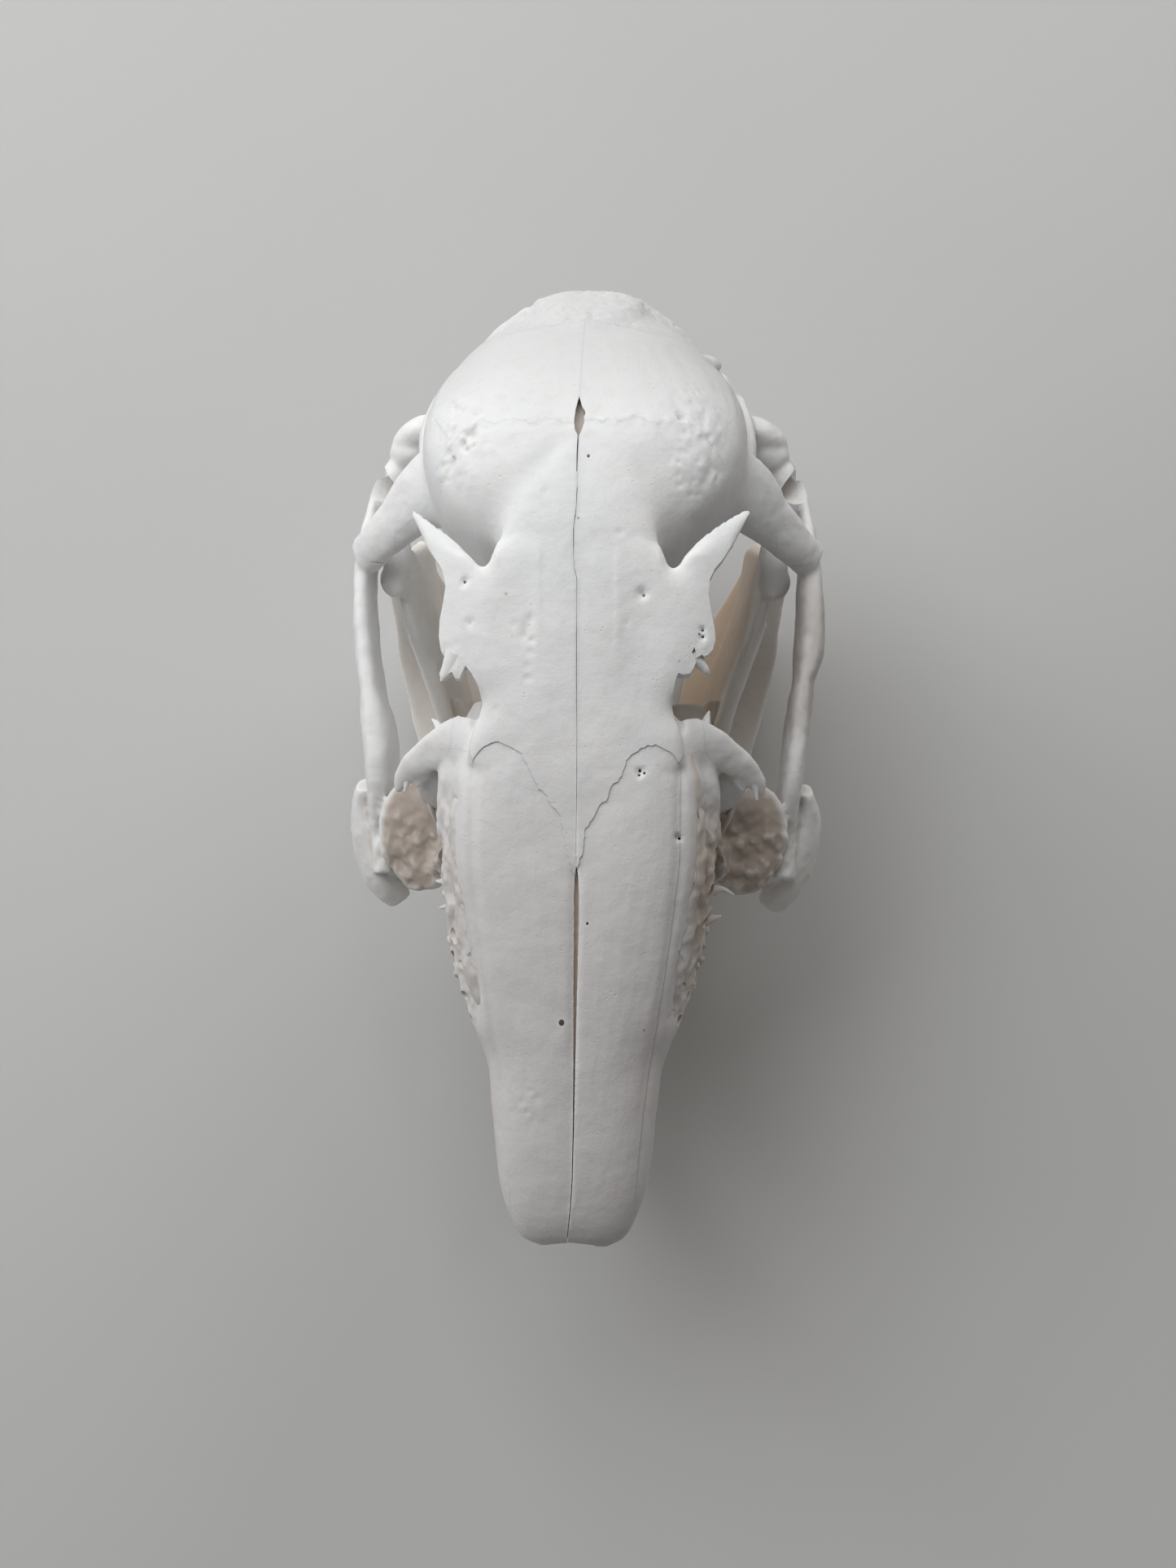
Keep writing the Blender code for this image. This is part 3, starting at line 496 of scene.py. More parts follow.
cheekShape = {
    "plate": {"place": (14.2, 33.3, 35.5), "radii": (3.8, 5.0, 1.1), "turn": (20, 18, 0), "rings": 24},
    "web": {"place": (11.3, 36.9, 41.3), "radii": (2.7, 1.9, 4.6), "turn": (-18, 0, 0)},
    "root": ((9.5, 33.5, 28.5, 3.0, 4.2), (13.5, 32.4, 29.3, 2.3, 3.8), (17.6, 31.8, 29.4, 1.6, 3.2)),
    "rim": ((10.4, 31.6, 36.6, 2.6, 2.2), (13.0, 33.2, 34.0, 2.0, 1.2), (17.2, 34.2, 32.6, 1.4, 1.2)),
    "spur": (
        (19.7, 38.3, 32.6, 0.6, 1.1), (20.0, 36.4, 31.0, 1.0, 1.7, 15), (19.5, 33.4, 29.8, 1.25, 2.1, 25),
        (18.1, 30.4, 28.6, 1.45, 2.0, 30), (16.8, 28.7, 27.4, 1.05, 1.35, 30),
    ),
    "shoulder": (
        (9.2, 39.0, 46.6, 1.6, 2.2), (9.8, 36.0, 45.2, 1.7, 2.6), (10.1, 32.5, 43.4, 1.4, 2.6),
        (9.9, 28.5, 42.2, 1.0, 2.0),
    ),
}

archShape = {  # the cheek arch, by distance behind the nose tip
    "middle": {
        "right": (
            (30.8, 17.6), (35, 17.9), (38.5, 18.2), (43.5, 18.75), (47, 19.15), (49, 19.6), (51, 19.85), (56, 19.85),
            (60, 19.75), (63.5, 19.45), (66.2, 19.0),
        ),
        "left": (
            (30.8, 17.6), (35, 17.9), (38, 18.0), (42.2, 18.2), (45, 18.7), (49.5, 19.45), (54, 19.9), (57, 20.0),
            (60, 19.85), (63.5, 19.45), (66.2, 19.0),
        ),
    },
    "halfWidth": {
        "right": (
            (30.8, 1.2), (38.5, 0.98), (43.5, 1.1), (46.4, 1.0), (47.6, 0.86), (49, 1.15), (50.6, 1.32), (56, 1.12),
            (60, 0.85), (63.5, 0.5), (66.2, 0.22),
        ),
        "left": (
            (30.8, 1.2), (38, 1.2), (42.2, 1.4), (44.6, 1.3), (46, 1.05), (49.5, 0.98), (54, 0.9), (57, 0.83),
            (60, 0.75), (63.5, 0.5), (66.2, 0.22),
        ),
    },
    "height": (
        (30.8, 29.6), (35, 30.4), (39.5, 32.6), (43, 33.4), (46, 33.8), (53, 34.3), (60, 34.4), (63, 34.6),
        (66.2, 35.4),
    ),
    "stations": (30.8, 66.3, 1.18),  # first, end, step
    "power": 2.8,
    "flange": (
        (19.6, 46, 31.0, 0.7, 1.2), (20.2, 51.5, 31.0, 0.8, 1.3), (20.2, 57, 31.4, 0.8, 1.2),
        (19.7, 61, 32.0, 0.5, 0.9),
    ),
    "halfHeight": (
        (30.8, 3.0), (35, 3.4), (39.5, 4.2), (43, 3.9), (46, 3.7), (53, 3.3), (57, 3.1), (60, 2.6), (63, 1.7),
        (66.2, 0.5),
    ),
}


def archForms(side, name):
    middle, halfWidth = archShape["middle"][name], archShape["halfWidth"][name]
    height, halfHeight = archShape["height"], archShape["halfHeight"]
    path = []
    for y in np.arange(*archShape["stations"]):
        path.append((keyed(middle, y), y, keyed(height, y), keyed(halfWidth, y), keyed(halfHeight, y)))
    return [sweptBar(path, side, archShape["power"]), sweptBar(archShape["flange"], side)]


templeArmShape = {
    "arm": (
        (11.0, 62.4, 44.9, 3.9, 2.4), (13.6, 61.5, 43.7, 3.2, 1.6), (16.0, 60.1, 41.5, 2.3, 1.25),
        (18.2, 58.8, 39.0, 1.9, 1.25), (19.7, 58.2, 36.9, 1.8, 1.3),
    ),
    "crest": (
        (13.0, 61.5, 43.2, 0.6, 1.3), (13.9, 65.0, 41.8, 0.7, 1.4), (14.0, 69.0, 39.6, 0.7, 1.5),
        (13.4, 72.2, 38.2, 0.6, 1.1),
    ),
}

earShape = {
    "bulla": {"place": (10.2, 70.0, 26.6), "radii": (4.7, 6.2, 6.0), "turn": (0, 10, 12)},
    "tube": ((10.5, 69.4, 27.5, 3.4, 3.2), (14.0, 67.6, 31.4, 2.6, 2.3), (17.3, 66.0, 34.6, 2.5, 2.0)),
    "rim": {"place": (17.3, 65.8, 34.9), "radii": (1.4, 3.3, 2.1), "turn": (0, 35, 24)},
    "mastoid": {"place": (14.9, 69.7, 35.4), "radii": (3.3, 1.9, 3.7), "turn": (0, 0, -24)},
    "lobe": {"place": (16.2, 68.2, 36.4), "radii": (1.9, 1.7, 1.5), "turn": (0, 20, -24)},
    "back": ((10.0, 73.6, 36.6, 2.4, 4.2), (12.4, 72.2, 35.2, 1.7, 3.8)),
    "process": ((11.4, 74.4, 34.5, 1.8, 1.0), (11.5, 74.4, 28.0, 1.6, 0.8), (11.0, 73.6, 22.6, 0.8, 0.6)),
}

napeShape = {
    "crest": (
        (3.8, 79.4, 42.6, 0.8, 1.0), (7.6, 77.2, 41.2, 0.8, 1.0), (10.4, 74.4, 39.4, 0.8, 1.0),
        (12.4, 71.6, 38.4, 0.7, 0.9),
    ),
    "plate": ((3.0, 79.0, 37.2, 1.5, 4.8), (7.0, 77.4, 35.8, 1.6, 5.0), (10.6, 74.8, 34.8, 1.5, 4.4)),
    "condyle": {"place": (4.7, 80.5, 30.6), "radii": (2.1, 2.3, 3.6), "turn": (18, -18, 0)},
    "neck": ((4.5, 78.2, 31.5, 2.2, 3.4), (9.6, 76.0, 31.5, 1.8, 3.0)),
}

toothBearers = {  # across, and the loft that stands there
    "bulge": (9.2, {
        "start": 29.5,
        "end": 47.6,
        "halfWidth": ((29.5, 1.6), (32, 2.8), (40, 3.1), (45, 2.6), (47.6, 1.6)),
        "top": ((29.5, 31), (34, 34), (41, 33), (47.6, 26.4)),
        "widest": ((29.5, 26), (47.6, 24.9)),
        "bottom": ((29.5, 24.4), (32, 23.0), (46, 23.0), (47.6, 23.6)),
        "power": 2.8,
    }),
    "palate": (4.2, {
        "start": 31, "end": 42.5, "halfWidth": 4.6, "top": 28.5, "widest": 26.6, "bottom": 24.8, "power": 3.0,
    }),
}

wingShape = {
    "plate": (
        (5.6, 43.0, 27.0, 0.8, 2.6), (4.6, 49.0, 26.2, 0.6, 3.6), (4.8, 55.0, 25.8, 0.5, 3.6),
        (5.4, 60.5, 26.2, 0.5, 2.2),
    ),
    "hook": ((4.8, 56.5, 23.6, 0.55, 1.2), (4.6, 59.6, 21.8, 0.4, 0.5)),
    "wing": ((5.0, 60.0, 28.5, 1.5, 2.2), (8.4, 60.0, 31.0, 1.4, 3.0), (10.6, 60.5, 34.5, 1.3, 3.2)),
}

lofts = (snoutShape, orbitRoofShape, shoulderShape, orbitWallShape, braincaseShape, napeShieldShape, baseShape)
forms = [formAlong(**shape) for shape in lofts]
for side, name in sideNames:
    forms.append(browForm(side, name))
    forms += sideForms(tearShape, side) + sideForms(cheekShape, side) + archForms(side, name)
    for shapes in (templeArmShape, earShape, napeShape):
        forms += sideForms(shapes, side)
    forms += [formAlong(**loft, middle=side * across) for across, loft in toothBearers.values()]
    forms += sideForms(wingShape, side)
cranium = joinForms("cranium", forms)
melt(cranium)
keepLargest(cranium)
say(f"cranium melted: {len(cranium.data.polygons)} faces")

hollowShapes = {
    "nasal cavity": shrunk(snoutShape, inset=0.95, front=2.4, back=6, below=1.6),
    "nostrils": {"place": (0, 0.2, 35.7), "radii": (4.1, 8.5, 4.3)},
    "brain cavity": shrunk(braincaseShape, inset=1.3, front=2.5, back=1, below=1.5),
    "spinal canal": {"place": (0, 81.6, 34.0), "radii": (4.0, 6.0, 3.4)},
    "palate slits": {"place": (0, 21.5, 24.0), "radii": (2.8, 9.0, 4.0)},
    "optic canal": {"place": (0, 52.6, 37.6), "radii": (6.5, 2.0, 2.2)},
}
hollows = [(lump if "place" in shape else formAlong)(**shape) for shape in hollowShapes.values()]
hollowOut(cranium, hollows, voxel=blankSettings["voxel"] * blankSettings["hollowShare"])
earOpening = ((19.4, 64.9, 36.9, 1.8, 1.1), (16.6, 66.4, 34.2, 1.4, 0.9))
hollowOut(cranium, [sweptBar(earOpening, side) for side, name in sideNames])
say(f"cranium hollowed: {len(cranium.data.polygons)} faces")


# Sculpting: each dent, ridge or pit moves the blank's points along their normals

latticeTurn = np.array(Matrix.Rotation(0.6, 3, "X") @ Matrix.Rotation(0.9, 3, "Y") @ Matrix.Rotation(0.7, 3, "Z"))


def lumpNoise(points, size, seed=0):  # smooth noise from -1 to 1 on a tilted lattice of that cell size
    p = points @ latticeTurn / size + seed * 17.31
    cell = np.floor(p).astype(np.int64)
    part = p - cell
    ease = part * part * (3 - 2 * part)
    total = np.zeros(len(points))
    for corner in ((i, j, k) for i in (0, 1) for j in (0, 1) for k in (0, 1)):
        c = cell + np.array(corner)
        mixed = (c[:, 0] * 374761393 + c[:, 1] * 668265263 + c[:, 2] * 1442695041 + seed * 974711) & 0x7FFFFFFF
        mixed = ((mixed ^ (mixed >> 13)) * 1274126177) & 0x7FFFFFFF
        value = ((mixed ^ (mixed >> 15)) & 0xFFFF) / 32767.5 - 1
        weight = np.prod(np.where(np.array(corner) == 1, ease, 1 - ease), axis=1)
        total += value * weight
    return total


def fade(value, start, end):  # 0 at start, 1 at end, smooth between
    t = np.clip((value - start) / (end - start), 0, 1)
    return t * t * (3 - 2 * t)


def lineDistance(points, line):  # distance in plan to a line of points
    best = np.full(len(points), 1e9)
    for a, b in zip(line, line[1:]):
        a, b = np.array(a, float), np.array(b, float)
        d = b - a
        t = np.clip(((points - a) @ d) / max(d @ d, 1e-9), 0, 1)
        best = np.minimum(best, np.linalg.norm(points - (a + t[:, None] * d), axis=1))
    return best


def readPoints(mesh):
    points = np.empty(len(mesh.vertices) * 3)
    mesh.vertices.foreach_get("co", points)
    normals = np.empty(len(mesh.vertices) * 3, np.float32)
    mesh.vertex_normals.foreach_get("vector", normals)
    return points.reshape(-1, 3), normals.reshape(-1, 3).astype(float)


def movePoints(mesh, points):
    mesh.vertices.foreach_set("co", points.astype(np.float32).ravel())
    mesh.update()


def readEdges(mesh):
    edges = np.empty(len(mesh.edges) * 2, np.int64)
    mesh.edges.foreach_get("vertices", edges)
    return edges.reshape(-1, 2)


def neighbourSums(values, a, b):  # for each point, the sum over the other ends of its edges
    return np.stack([
        np.bincount(a, values[b, k], len(values)) + np.bincount(b, values[a, k], len(values)) for k in range(3)
    ], 1)


def around(x, middle, width):  # 1 at the middle, falling off to both sides like a bell
    return np.exp(-((x - middle) / width) ** 2)


reliefSettings = {"passes": {3: 2.2, 15: 1.4}, "depth": 0.3}  # shares of the smoothing passes that are compared


def hollowness(mesh):  # near 1 in a hollow, -1 on an edge
    points, normals = readPoints(mesh)
    a, b = readEdges(mesh).T
    count = np.bincount(np.concatenate([a, b]), minlength=len(points)).astype(float)
    count[count == 0] = 1
    mean = points.copy()
    total = np.zeros(len(points))
    for i in range(max(reliefSettings["passes"]) + 1):
        mean = neighbourSums(mean, a, b) / count[:, None]
        if i in reliefSettings["passes"]:
            total += ((mean - points) * normals).sum(1) * reliefSettings["passes"][i]
    return np.clip(total / reliefSettings["depth"], -1, 1)


def addAttribute(mesh, name, values):
    mesh.attributes.new(name, "FLOAT", "POINT").data.foreach_set("value", values.astype(np.float32))


def addRelief(mesh):
    hollow = hollowness(mesh)
    addAttribute(mesh, "hollow", np.clip(hollow, 0, 1))
    addAttribute(mesh, "edge", np.clip(-hollow, 0, 1))


def easeZone(mesh, weight, reach):  # melts creases into soft blends, over about reach millimetres
    points = readPoints(mesh)[0]
    edges = readEdges(mesh)
    edges = edges[(weight[edges] > 0).any(1)]
    near, place = np.unique(edges, return_inverse=True)
    a, b = place.reshape(-1, 2).T
    here, share = points[near], weight[near][:, None] * 0.5
    count = np.bincount(np.concatenate([a, b]), minlength=len(near))[:, None]
    for _ in range(round(4 * (reach / blankSettings["voxel"]) ** 2)):
        here += share * (neighbourSums(here, a, b) / count - here)
    points[near] = here
    movePoints(mesh, points)


easeReach = {  # in millimetres, in the order of easing
    "flank": 1.15, "brow": 0.8, "arm root": 0.6, "hook root": 0.45, "bullae": 0.45, "nape": 0.6, "forehead": 0.9,
    "nose tip": 0.35,
}


def easeCranium(mesh):
    points, normals = readPoints(mesh)
    x, y, z = np.abs(points[:, 0]), points[:, 1], points[:, 2]
    up, flat = fade(normals[:, 2], -0.1, 0.3), fade(normals[:, 2], 0.3, 0.6)

    def oval(across, width, behind, length, start, end):  # 1 inside an oval in plan, 0 outside
        return 1 - fade(np.hypot((x - across) / width, (y - behind) / length), start, end)

    def band(value, low, fullLow, fullHigh, high):  # 1 between two values, 0 outside
        return fade(value, low, fullLow) * (1 - fade(value, fullHigh, high))

    condyle = np.hypot(np.hypot(x - 4.7, y - 79.6), z - 31.5) / 4.6
    bulla = np.hypot(np.hypot(x - 10.4, y - 70), z - 31.0) / 5.4
    weights = {
        "flank": oval(9.2, 4.8, 58.6, 5.6, 0.7, 1.1) * fade(z, 40, 43) * up,
        "brow": band(x, 5.2, 6.4, 8.6, 9.6) * band(y, 40.5, 42.5, 50.8, 52.2) * flat * fade(z, 48, 50),
        "arm root": oval(12.8, 2.8, 61.8, 2.8, 0.5, 1.1) * up,
        "hook root": oval(9.4, 1.8, 38.4, 3.0, 0.5, 1.1) * up * fade(z, 44, 46),
        "bullae": 1 - fade(np.minimum(condyle, bulla), 0.6, 1.1),
        "nape": band(y, 72, 74, 78, 80) * (1 - fade(x, 6, 8)) * up,
        "forehead": band(y, 38.2, 39.6, 42.2, 43.6) * (1 - fade(x, 7, 8)) * up * fade(z, 49, 51),
        "nose tip": (1 - fade(y, 0.6, 2.0)) * fade(z, 34, 37),
    }
    for name, reach in easeReach.items():
        easeZone(mesh, weights[name], reach)


# Lines of the sutures, as the photograph shows them from above: across, behind the nose tip

nasalBack = {
    "right": (
        (0.25, 28.4), (0.6, 29.4), (0.8, 31.2), (1.5, 32.3), (1.9, 33.1), (2.4, 33.4), (2.9, 34.6), (3.6, 35.2),
        (3.9, 36.4), (4.5, 37.1), (5.3, 37.6), (6.2, 37.8), (7.0, 37.5), (7.7, 37.0), (8.2, 36.2),
    ),
    "left": (
        (0.25, 28.2), (0.5, 29.2), (0.9, 31.0), (1.2, 32.3), (1.9, 33.1), (2.3, 33.9), (2.9, 34.3), (3.4, 35.4),
        (4.2, 36.9), (5.0, 37.5), (6.1, 37.9), (7.2, 37.6), (8.0, 36.8), (8.3, 35.9),
    ),
}
nasalEdge = (
    (8.2, 36.0), (8.15, 33.3), (8.15, 28.8), (7.8, 25.6), (7.4, 22.4), (6.7, 17.3), (6.0, 13.2), (5.5, 9.0),
    (5.1, 4.0), (4.8, -3.0),
)
coronalLine = (
    (-9.6, 62.8), (-8.0, 63.7), (-6.8, 63.2), (-5.2, 63.6), (-3.9, 63.1), (-2.4, 63.5), (-0.6, 62.9), (0.6, 63.3),
    (2.2, 63.2), (4.1, 63.6), (6.0, 63.3), (8.2, 63.9), (9.6, 63.0),
)
templeLine = ((7.6, 53.4), (8.6, 56.0), (10.2, 57.6), (11.8, 60.2), (12.6, 63.5), (12.4, 67.5), (11.4, 71.5))

midline = {
    "seam": (  # where right meets left, across by behind the nose tip
        (-3, -0.4), (0, -0.36), (1.2, -0.22), (2.5, -0.09), (4.4, 0.02), (7.6, 0.08), (12, 0.12), (16.5, 0.14),
        (20, 0.16), (24.4, 0.19), (28, 0.16), (30, 0.10), (35, 0.12), (37, 0.10), (41, 0.02), (45.4, -0.04),
        (50.4, -0.08), (51.0, -0.28), (52.0, -0.36), (54.3, -0.40), (55.8, -0.22), (57.8, -0.16), (60, -0.22),
        (66, -0.14), (76, -0.1),
    ),
    "gap": (  # half width of the gap between the nasals
        (-0.8, 0.03), (3, 0.035), (6, 0.04), (9, 0.05), (12, 0.07), (14.5, 0.09), (16.5, 0.12), (20, 0.16),
        (24.4, 0.2), (26.8, 0.19), (27.8, 0.12), (28.4, 0.03),
    ),
    "gapDepth": 0.85,
    "crack": (
        (28.5, 0.01), (31, 0.01), (36, 0.02), (39, 0.01), (41, 0.02), (45, 0.026), (48, 0.01), (50.5, 0.018),
        (52, 0.01), (54.0, 0.035), (54.6, 0.01), (55.2, 0.045), (55.9, 0.01), (57.2, 0.035), (57.8, 0.01),
    ),
    "crackDepth": 0.3,
    "holeDepth": 0.75,
    "bregmaHole": (
        (-0.25, 58.9), (-0.27, 60.6), (-0.24, 62.0), (-0.45, 62.45), (-0.55, 63.2), (-0.45, 64.4), (-0.3, 65.2),
        (-0.2, 65.65), (-0.08, 65.2), (0.06, 64.64), (0.31, 64.2), (0.33, 63.9), (0.24, 63.6), (0.28, 63.2),
        (0.1, 62.5), (-0.12, 61.9), (-0.17, 60.6), (-0.19, 58.9),
    ),
}

pits = (  # across, behind the nose tip, radius, depth
    (5.13, 49.32, 0.42, 0.325), (-8.95, 50.43, 0.3, 0.26), (5.11, 35.73, 0.34, 0.195), (4.9, 35.4, 0.2, 0.195),
    (-3.75, 47.4, 0.3, 0.117), (-4.0, 46.7, 0.42, 0.13), (-4.15, 46.0, 0.4, 0.143), (-3.6, 45.6, 0.3, 0.117),
    (-3.7, 44.7, 0.34, 0.091), (-3.9, 43.6, 0.3, 0.065), (-3.8, 42.7, 0.3, 0.078), (-5.0, 46.9, 0.3, 0.065),
    (9.78, 46.9, 0.24, 0.26), (9.8, 46.3, 0.24, 0.26), (3.9, 47.0, 0.3, 0.078), (8.14, 30.86, 0.24, 0.325),
    (-6.4, 40.4, 0.3, 0.065), (-2.6, 57.2, 0.3, 0.065), (3.2, 54.0, 0.28, 0.065), (-8.5, 47.2, 0.3, 0.13),
)

foramina = (  # small round holes with a rim: across, behind the nose tip, radius
    (-0.89, 16.53, 0.23), (0.66, 60.22, 0.13), (5.13, 49.32, 0.14), (5.0, 35.8, 0.13), (5.35, 35.6, 0.11),
    (4.95, 35.45, 0.1), (8.14, 30.86, 0.13), (9.78, 46.9, 0.13), (9.8, 46.4, 0.12), (9.5, 46.55, 0.1),
    (1.05, 24.1, 0.1), (-8.95, 50.43, 0.12),
)

porousPatches = (  # ovals in plan: across, behind the nose tip, half width, half length, strength
    (-9.5, 62.6, 2.5, 5.6, 1.0), (9.1, 62.2, 2.8, 6.2, 1.0), (-3.9, 10.5, 1.6, 2.6, 0.35),
    (9.4, 60.0, 1.6, 2.6, 0.7), (-9.9, 44.4, 1.3, 1.5, 0.9), (9.9, 46.0, 0.8, 1.2, 0.6),
    (-9.4, 59.8, 1.4, 2.4, 0.6), (0, 76.5, 6, 2.5, 0.7),
)

skin = {  # swellings of three sizes and their heights
    "cranium": {"size": (4.2, 1.7, 0.7), "height": (0.07, 0.035, 0.012), "seed": 1},
    "jaw": {"size": (4.0, 1.5, 0.7), "height": (0.06, 0.035, 0.012), "seed": 21},
}


def uneven(points, size, height, seed):
    return sum(lumpNoise(points, cell, seed + i) * tall for i, (cell, tall) in enumerate(zip(size, height)))


def sculptCranium(mesh):
    points, normals = readPoints(mesh)
    x, y, z = points.T
    mirrored = np.stack([np.abs(x), y], 1)
    up = np.clip(normals[:, 2], 0, 1)
    onRoof = fade(normals[:, 2], 0.25, 0.6) * fade(z, 40, 43)
    move = uneven(points, **skin["cranium"])

    # nasals: a shallow trough beside the midline, fine lengthwise streaks
    nasal = onRoof * (1 - fade(y, 28, 34)) * (1 - fade(np.abs(x), 7, 8.2))
    apart = x - np.interp(y, *zip(*midline["seam"]))
    parted = fade(y, 8, 18) * (1 - fade(y, 27, 29))
    move -= nasal * parted * np.where(apart < 0, around(apart, 0, 0.55) * 0.30, around(apart, 0, 0.35) * 0.10)
    move -= nasal * (1 - parted) * np.where(apart < 0, around(apart, 0, 0.8) * 0.07, 0)
    move += nasal * lumpNoise(points * np.array([1, 0.12, 1]), 0.55, 5) * 0.012

    groove = lineDistance(mirrored, nasalEdge[:8])
    move -= around(groove, 0, 0.4) * onRoof * fade(y, 8, 12) * 0.13

    # frontals: a faint seam and a broad shallow saddle
    frontal = onRoof * fade(y, 36, 40) * (1 - fade(y, 60, 63))
    move -= frontal * around(np.abs(x), 5.0, 2.0) * around(y, 46.5, 5) * 0.36
    move -= frontal * fade(apart, -0.15, 0.15) * around(apart, 0, 1.4) * 0.06

    # wavy raised line where frontals and parietals meet
    wave = np.stack([x, y + lumpNoise(points, 0.9, 7) * 0.35], 1)
    ridge = around(lineDistance(wave, coronalLine), 0, 0.45) * np.where(x > 0, 1.0, 0.5)
    move += onRoof * ridge * (0.05 + 0.11 * lumpNoise(points, 0.55, 8))

    # temple lines
    move += around(lineDistance(mirrored, templeLine), 0, 0.7) * fade(z, 43, 46) * 0.14

    # worn skin of the tear bones, the cheek arches and their arms
    worn = np.maximum(fade(np.abs(x), 9.5, 11) * fade(y, 34, 36) * (1 - fade(y, 41, 43)), fade(np.abs(x), 13.5, 15))
    move += worn * (lumpNoise(points, 1.3, 20) * 0.06 + lumpNoise(points, 0.6, 26) * 0.03)

    # porous sides of the braincase, rough nape and rough places on the snout
    pores = np.clip(lumpNoise(points, 0.5, 11) - 0.15, 0, 1) * 0.5
    pores += np.clip(lumpNoise(points, 0.95, 12) - 0.25, 0, 1) * 0.5
    pores *= 0.5 + fade(lumpNoise(points, 2.0, 10), -0.5, 0.3)
    patches = fade(y, 75.5, 78) * 0.6
    for across, behind, width, length, strength in porousPatches:
        reach = np.hypot((x - across) / width, (y - behind) / length)
        patches = np.maximum(patches, (1 - fade(reach, 0.3, 1.15)) * strength)
    move -= pores * patches * 0.58 * fade(z, 30, 38)
    move += patches * (lumpNoise(points, 0.9, 13) * 0.07 + lumpNoise(points, 0.5, 14) * 0.04)

    # crumpled skin of the cheek plates
    plate = np.hypot((np.abs(x) - 14.2) / 3.0, (y - 33.3) / 4.8)
    crumple = lumpNoise(points, 2.1, 17) * 0.14 + lumpNoise(points, 0.8, 18) * 0.05 - around(plate, 0, 0.6) * 0.5
    crumple *= (1 - fade(plate, 0.8, 1.1)) * fade(normals[:, 2], 0.1, 0.5)
    move += crumple * fade(z, 32, 34) * (1 - fade(z, 39.5, 41))

    # spongy cheek wall: bone stands between deep cells
    cheekWall = fade(np.abs(x), 6.6, 8.2) * fade(y, 15.5, 19) * (1 - fade(y, 33, 36)) * fade(z, 31, 34)
    below = roof(y) - z
    move -= cheekWall * around(below, 3.6, 1.5) * 0.75
    cheekWall *= fade(below, 2.0, 3.0)
    move += cheekWall * (lumpNoise(points, 1.1, 15) * 0.24 + lumpNoise(points, 0.55, 16) * 0.12)

    for px, py, radius, depth in pits:
        reach = np.hypot(x - px, y - py) / radius * (1 + 0.35 * lumpNoise(points, 0.5, 19))
        move -= np.exp(-(reach ** 2) * 1.2) * depth * onRoof
    movePoints(mesh, points + normals * move[:, None])


easeCranium(cranium.data)
sculptCranium(cranium.data)
say("cranium sculpted")


# Spongy cheek wall: slanting cells let into the side of the snout

latticeCells = {
    "rows": ((33.2, 0.0), (35.6, 0.5), (38.0, 0.0), (40.3, 0.5), (42.5, 0.0), (44.4, 0.5)),  # height, stagger
    "start": 17.0,
    "end": 33.5,
    "pitch": 1.85,
    "size": (1.3, 0.66, 0.78),  # depth, length and height of a cell
    "power": 2.6,  # of the snout's side, and how far it draws in below
    "taper": 0.42,
    "voxel": 0.2,
}


def snoutSide(y, z):  # how far out the snout's side stands, between 13.7 and 35 behind the nose tip
    half, widest = keyed(snoutShape["halfWidth"][6:12], y), keyed(snoutShape["widest"][2:], y)
    if z > widest:
        share, taper = (z - widest) / (roof(y) - widest), 1
    else:
        share = (widest - z) / (widest - keyed(snoutShape["bottom"][5:], y))
        taper = 1 - latticeCells["taper"] * share ** 0.8
    return half * (1 - share ** latticeCells["power"]) ** (1 / latticeCells["power"]) * taper


def latticeForms(side, rng):
    cells = []
    for height, stagger in latticeCells["rows"]:
        y = latticeCells["start"] + stagger * latticeCells["pitch"]
        while y < latticeCells["end"]:
            py, pz = y + rng.uniform(-0.4, 0.4), height + rng.uniform(-0.35, 0.35)
            depth, length, tall = (size * rng.uniform(0.6, 1.25) for size in latticeCells["size"])
            depth *= 1 - 0.6 * float(fade(pz, 39.5, 42.5))
            if pz < roof(py) - 2.9 and rng.uniform(0, 1) < 0.9:
                turn = (rng.uniform(15, 60), 0, rng.uniform(-20, 20))
                cells.append(lump((snoutSide(py, pz), py, pz), (depth, length, tall), side, turn, rings=7))
            y += latticeCells["pitch"]
    return cells


rng = np.random.default_rng(7)
for side, name in sideNames:
    hollowOut(cranium, latticeForms(side, rng), voxel=latticeCells["voxel"])
say(f"cheek wall opened: {len(cranium.data.polygons)} faces")


# Broken edges, points and flakes, the gaps along the midline, and small round holes

